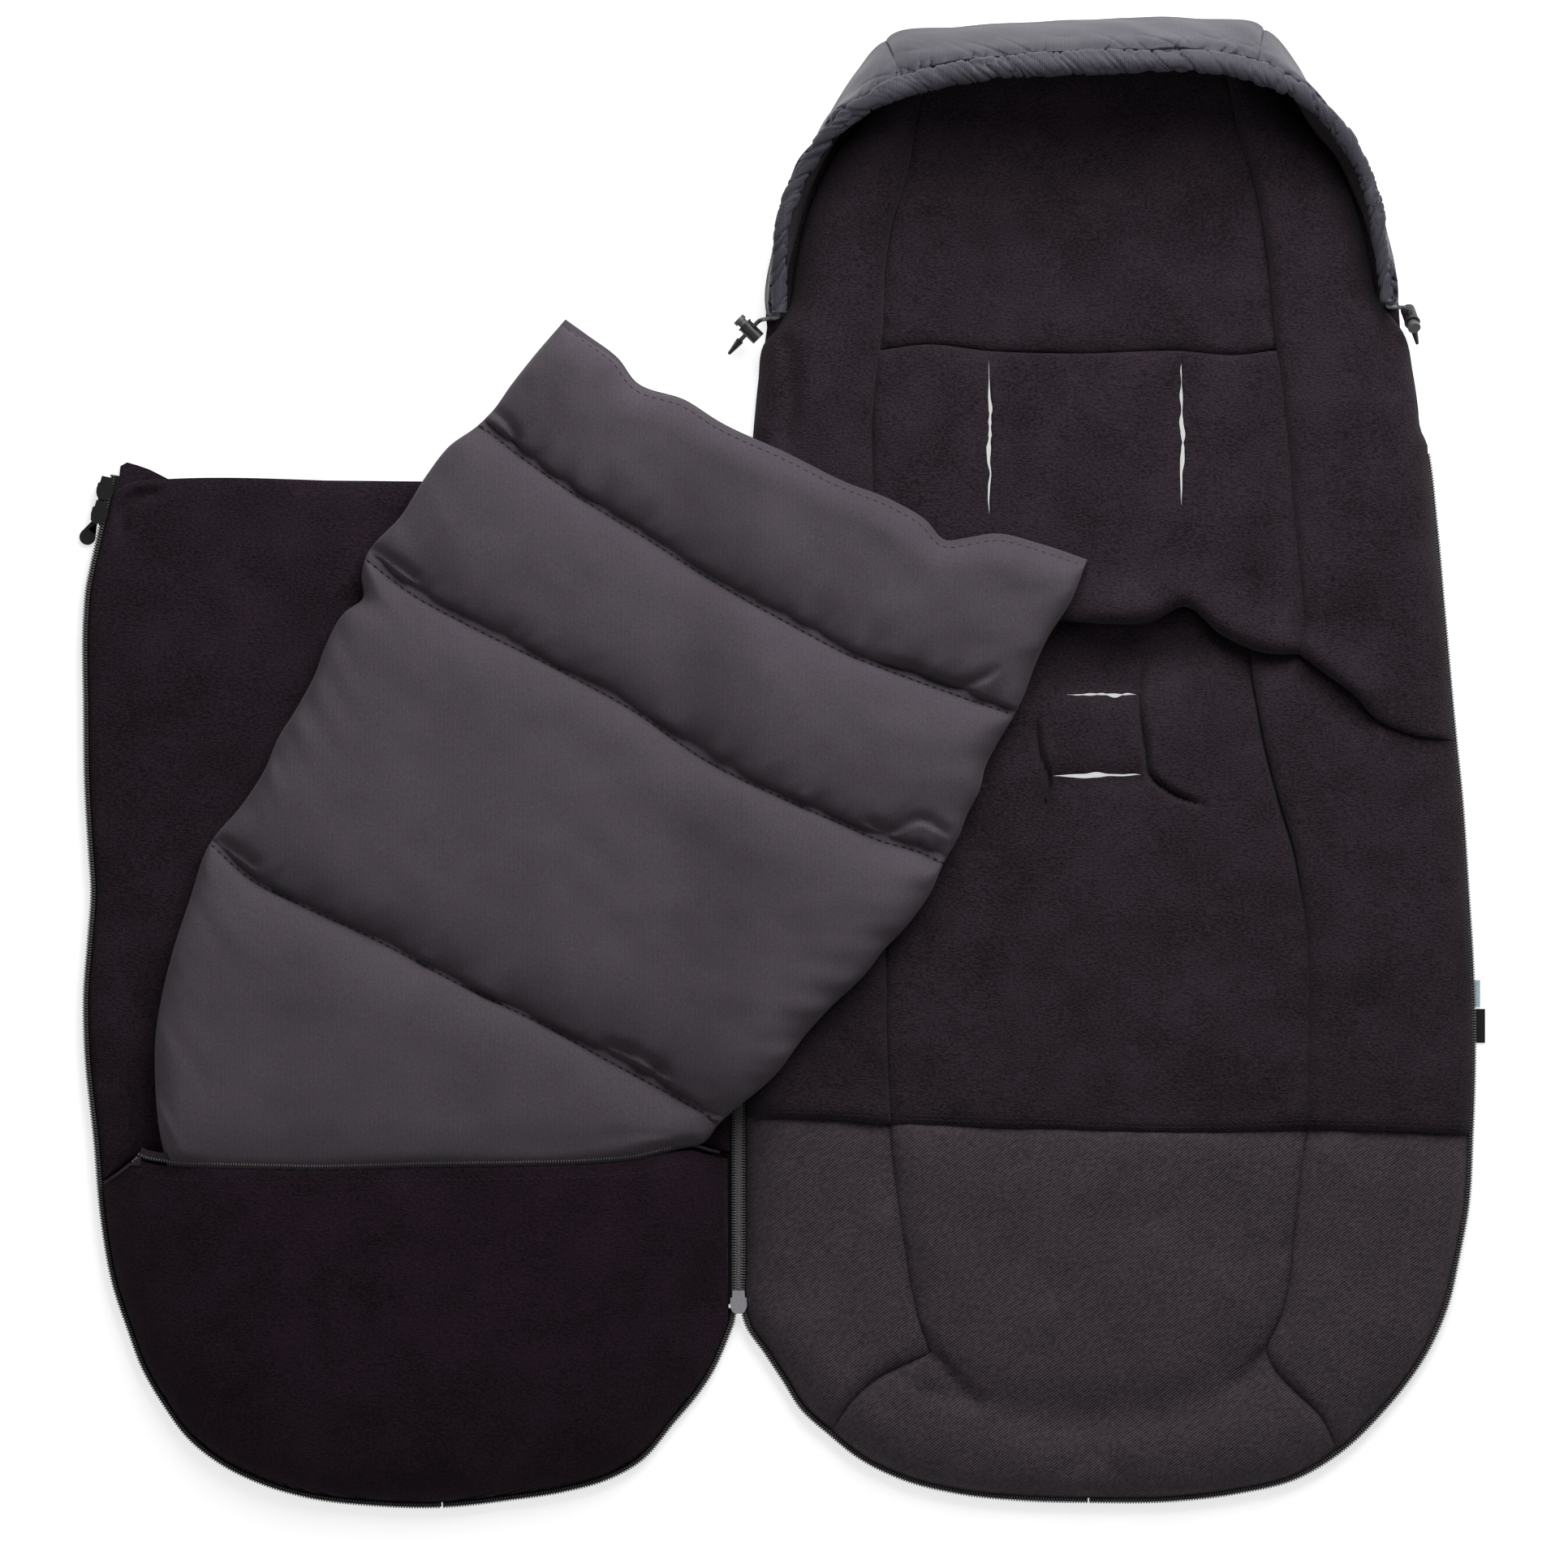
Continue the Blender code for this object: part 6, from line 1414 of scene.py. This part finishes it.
def joined_teeth():
    """The closed stretch of the side zip, where the teeth of both halves mesh across the middle."""
    top, foot = plan((0, JOINED_TOP_PX))[1], plan((0, JOINED_FOOT_PX))[1]
    verts, faces = [], []
    for number, y in enumerate(np.arange(foot, top, TOOTH_PITCH / 2)):
        way = 1.0 if number % 2 else -1.0
        faces += prism_faces(len(verts), len(MESHED_SECTION), MESHED_SIDES)
        for along, height, half in MESHED_SECTION:
            x, shoulder = ZIP_LINE - way * along * TOOTH_REACH, height - TOOTH_EDGE
            near, far = y - half * way, y + half * way
            verts += [(x, near, TOOTH_FOOT), (x, near, shoulder), (x, y, height), (x, far, shoulder),
                      (x, far, TOOTH_FOOT)]
    new_object("side_zip_meshed_teeth", verts, faces, COIL_PAINTED_GLINTS, "liner")


# A stitch at each of its stations: place along it, share of the thread's radius, and rise in radii
STITCH_SECTION = ((-0.5, 0.5, -1.0), (-0.25, 1.0, 0.6), (0.25, 1.0, 0.6), (0.5, 0.5, -1.0))
STITCH_SIDES = 5


def stitches(name, curve, tree, finish, body=None, length=0.0028, pitch=0.0042, radius=0.00022, lift=0.0001,
             first=0.0, last=1.0):
    """A row of single stitches laid on whatever surface is below the line."""
    samples = np.linspace(first, last, 300)
    lengths = lengths_along(curve(samples))
    verts, faces = [], []
    for place in np.arange(pitch / 2, lengths[-1], pitch):
        stations = []
        for offset, _, _ in STITCH_SECTION:
            share = np.interp(place + offset * length, lengths, samples)
            x, y = curve(float(share))
            stations.append((x, y, drop(tree, x, y)))
        if any(z is None for _, _, z in stations):
            continue
        run = np.array(stations[-1]) - np.array(stations[0])
        run /= max(np.linalg.norm(run), 1e-9)
        side = np.cross(run, (0.0, 0.0, 1.0))
        side /= max(np.linalg.norm(side), 1e-9)
        up = np.cross(side, run)
        faces += prism_faces(len(verts), len(stations), STITCH_SIDES)
        for station, (_, size, rise) in zip(stations, STITCH_SECTION):
            centre = np.array(station) + up * (radius * rise + lift)
            for k in range(STITCH_SIDES):
                angle = 2 * math.pi * k / STITCH_SIDES
                verts.append(centre + (side * math.cos(angle) + up * math.sin(angle)) * radius * size)
    return new_object(name, verts, faces, finish, body)


def offset_line(curve, distance):
    """A curve moved to its left by a distance."""
    return lambda share: curve(share) + left_normals(curve, share) * distance


def press_spring(spring):
    """Give a lock's spring a mesh of its own."""
    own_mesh(spring)


SLIDER_BEVEL = 0.00018
PULL_BEVEL = 0.00015
LOCK_BEVEL = 0.00025
SMALL_BEVEL = 0.0002
SPRING_BEVEL = 0.00002


def metalwork():
    """Sliders, pulls and cord locks, with rounded edges."""
    copy_of("side_zip_slider", "side_slider_metal", SILVER, SLIDER_BEVEL, "side_slider")
    copy_of("side_zip_pull", "side_pull_metal", SILVER, PULL_BEVEL, "side_pull")
    for name in ("upper", "lower"):
        slider, pull = f"free_slider_{name}", f"free_pull_{name}"
        copy_of(f"zip_slider_{name}", slider + "_metal", BLACK_METAL, SLIDER_BEVEL, slider)
        copy_of(f"zip_pull_{name}", pull + "_metal", BLACK_METAL, PULL_BEVEL, pull)
    for side in ("left", "right"):
        lock = f"lock_{side}"
        copy_of(f"cord_lock_{side}", lock + "_barrel", PLASTIC, LOCK_BEVEL, lock)
        copy_of(f"cord_lock_button_{side}", lock + "_button", BUTTON_GREY, LOCK_BEVEL, f"button_{side}")
        copy_of(f"cord_end_{side}", f"cord_tip_{side}", PLASTIC, SMALL_BEVEL)
        spring = copy_of(f"cord_lock_spring_{side}", lock + "_spring", SPRING_STEEL, SPRING_BEVEL, lock)
        press_spring(spring)


LEFT_CORD_EXIT_PX = [(936, 395), (912, 420)]
RIGHT_CORD_EXIT_PX = [(1733, 380), (1741, 404)]
LEFT_CORD_HEIGHTS_SHARE = [0.78, 0.42]
RIGHT_CORD_HEIGHTS_SHARE = [0.80, 0.42]
CORD_LEAD = 0.0032
CORD_RADIUS = 0.0013
CORD_STEPS = (0.0, 0.25, 0.75)


def cord_exit(pixels, heights):
    """Points of the cord beyond the rim, with their heights as shares of the hood's end height."""
    return [Vector((*plan(pixel), HOOD_END_HEIGHT * share)) for pixel, share in zip(pixels, heights)]


def drawcord():
    """The flecked elastic cord: in the rim's channel, and out through the locks at both ends."""
    centre, height, _ = rim_centre(np.linspace(0.0, 1.0, 60))
    route = [Vector((*p, z)) for p, z in zip(centre, height)]
    left = cord_exit(LEFT_CORD_EXIT_PX, LEFT_CORD_HEIGHTS_SHARE)
    right = cord_exit(RIGHT_CORD_EXIT_PX, RIGHT_CORD_HEIGHTS_SHARE)
    leave_left = route[0] + (route[0] - route[1]).normalized() * CORD_LEAD
    leave_right = route[-1] + (route[-1] - route[-2]).normalized() * CORD_LEAD
    points = [*left[::-1], leave_left, *route, leave_right, *right]
    points = [first.lerp(second, share) for first, second in zip(points, points[1:]) for share in CORD_STEPS]
    points.append(right[-1])
    data = bpy.data.curves.new("drawcord_elastic", "CURVE")
    data.dimensions = "3D"
    data.bevel_depth = CORD_RADIUS
    data.bevel_resolution = 3
    data.use_fill_caps = True
    spline = data.splines.new("NURBS")
    spline.points.add(len(points) - 1)
    for target, point in zip(spline.points, points):
        target.co = (*point, 1.0)
    spline.order_u = 4
    spline.resolution_u = 2
    spline.use_endpoint_u = True
    data.materials.append(ELASTIC)
    cord = linked("drawcord_elastic", data)
    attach(cord, "liner")
    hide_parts("drawcord")


SHELL_BEVEL = 0.0005
FACES_UP = 0.5


def shells():
    """The flat outer cloths of liner and cover, and the ribbon tags."""
    backing = copy_of("liner_backing", "liner_shell_cloth", TWILL, SHELL_BEVEL, merged=False)
    shell = copy_of("cover_shell", "cover_shell_cloth", TWILL, SHELL_BEVEL, "cover", merged=False)
    for piece, finish, lowest in ((backing, LINER_FLEECE, plan(HEM_PX[0])[1]), (shell, COVER_FLEECE, -1.0)):
        piece.data.materials.append(finish)
        for face in piece.data.polygons:
            if face.normal.z > FACES_UP and face.center.y > lowest:
                face.material_index = 1
    for name, finish in (("tag_black", RIBBON_BLACK), ("tag_blue", RIBBON_BLUE)):
        copy_of(name, name + "_ribbon", finish, SMALL_BEVEL)
    return backing


CAMERA_LENS = 600.0
SENSOR = 36.0


def camera():
    """A long lens straight above, whose picture matches the photograph's frame."""
    data = bpy.data.cameras.new("camera")
    data.lens = CAMERA_LENS
    data.sensor_width = SENSOR
    data.clip_end = 100.0
    item = linked("camera", data)
    distance = FRAME_PX * PIXEL * CAMERA_LENS / SENSOR
    item.location = (*plan((FRAME_PX / 2, FRAME_PX / 2)), distance)
    bpy.context.scene.camera = item


def lamp(name, place, aim, size, power):
    data = bpy.data.lights.new(name, "AREA")
    data.shape = "DISK"
    data.size = size
    data.energy = power
    item = linked(name, data)
    item.location = place
    item.rotation_euler = (Vector(aim) - Vector(place)).to_track_quat("-Z", "Y").to_euler()


FLOOR_WHITE = (0.86, 0.86, 0.86)
FLOOR_GLOW = 0.64
FLOOR_REACH = 15
WORLD_STRENGTH = 0.18


def floor_finish():
    """Matt white, with a glow that only camera and mirror rays see, so that it lights nothing."""
    made = Shader("floor", FLOOR_WHITE, 1.0, specular=0.0)
    path = made.add("ShaderNodeLightPath")
    seen = made.add("ShaderNodeMath", operation="MAXIMUM")
    strength = made.add("ShaderNodeMath", operation="MULTIPLY")
    strength.inputs[1].default_value = FLOOR_GLOW
    glow = made.add("ShaderNodeEmission")
    both = made.add("ShaderNodeAddShader")
    made.link(path.outputs["Is Camera Ray"], seen.inputs[0])
    made.link(path.outputs["Is Glossy Ray"], seen.inputs[1])
    made.link(seen.outputs[0], strength.inputs[0])
    made.link(strength.outputs[0], glow.inputs["Strength"])
    made.link(made.principled.outputs[0], both.inputs[0])
    made.link(glow.outputs[0], both.inputs[1])
    made.link(both.outputs[0], made.nodes["Material Output"].inputs["Surface"])
    return made.material


def studio():
    """White floor that keeps the shadows, soft light from the hood's side, and a pale world."""
    lamp("key", (0.30, 1.30, 1.05), (-0.1, 0.0, 0.0), 1.5, 31.0)
    lamp("fill", (-2.0, -1.0, 2.6), (-0.2, 0.0, 0.0), 2.0, 7.0)
    world = bpy.data.worlds.new("studio")
    bpy.context.scene.world = world
    world.use_nodes = True
    background = world.node_tree.nodes["Background"]
    background.inputs["Color"].default_value = (1.0, 1.0, 1.0, 1.0)
    background.inputs["Strength"].default_value = WORLD_STRENGTH

    verts = [(x * FLOOR_REACH, y * FLOOR_REACH, 0) for x, y in ((-1, -1), (1, -1), (1, 1), (-1, 1))]
    floor = new_object("floor", verts, [(0, 1, 2, 3)], floor_finish())
    floor.location.z = CAD_BOUNDS[0][2]
    bpy.context.scene.view_settings.view_transform = "Standard"


SEAM_ROW = 0.0006
INSERT_HEM_ROW = -0.0045
HEM_ROWS = (0.0030, 0.0055)
MOUTH_ROW = -0.0075
LONG_STITCH = 0.0030
LONG_PITCH = 0.0052


def sew_insert(quilt):
    """Stitches along the insert's seams and its hem."""
    tree = tree_of(quilt)
    sewn = []
    for number, line in enumerate(INSERT_LINES_PX[1:4]):
        seam = offset_line(curve_px(line), SEAM_ROW)
        sewn.append(stitches(f"insert_stitches_{number}", seam, tree, THREAD, length=LONG_STITCH,
                             pitch=LONG_PITCH, radius=0.0004))
    hem = offset_line(curve_px(INSERT_LINES_PX[0]), INSERT_HEM_ROW)
    sewn.append(stitches("insert_hem_stitches", hem, tree, THREAD, first=0.01, last=0.99, length=LONG_STITCH,
                         pitch=LONG_PITCH, radius=0.0003))
    for piece in (quilt, *sewn):
        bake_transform(piece)


def sew_hems(pads, panel):
    """Two rows of stitches across the liner along its hem, and one along the pocket's mouth."""
    tree = tree_of(*pads)
    for number, line in enumerate((HEM_LEFT_PX, HEM_PX, HEM_RIGHT_PX)):
        for row, distance in enumerate(HEM_ROWS):
            hem = offset_line(curve_px(line), distance)
            stitches(f"hem_stitches_{number}_{row}", hem, tree, THREAD, "liner")
    mouth = offset_line(Pocket.sides()[3], MOUTH_ROW)
    stitches("pocket_stitches", mouth, tree_of(panel), THREAD, "cover", first=0.02, last=0.98)


def main():
    camera()
    studio()
    Pocket.prepare()
    pads = liner_pads()
    backing = shells()
    cut_slots([pads[1], pads[4], backing])
    hood()
    drawcord()
    panel = cover()
    zips()
    metalwork()
    sew_insert(insert())
    sew_hems(pads, panel)


main()
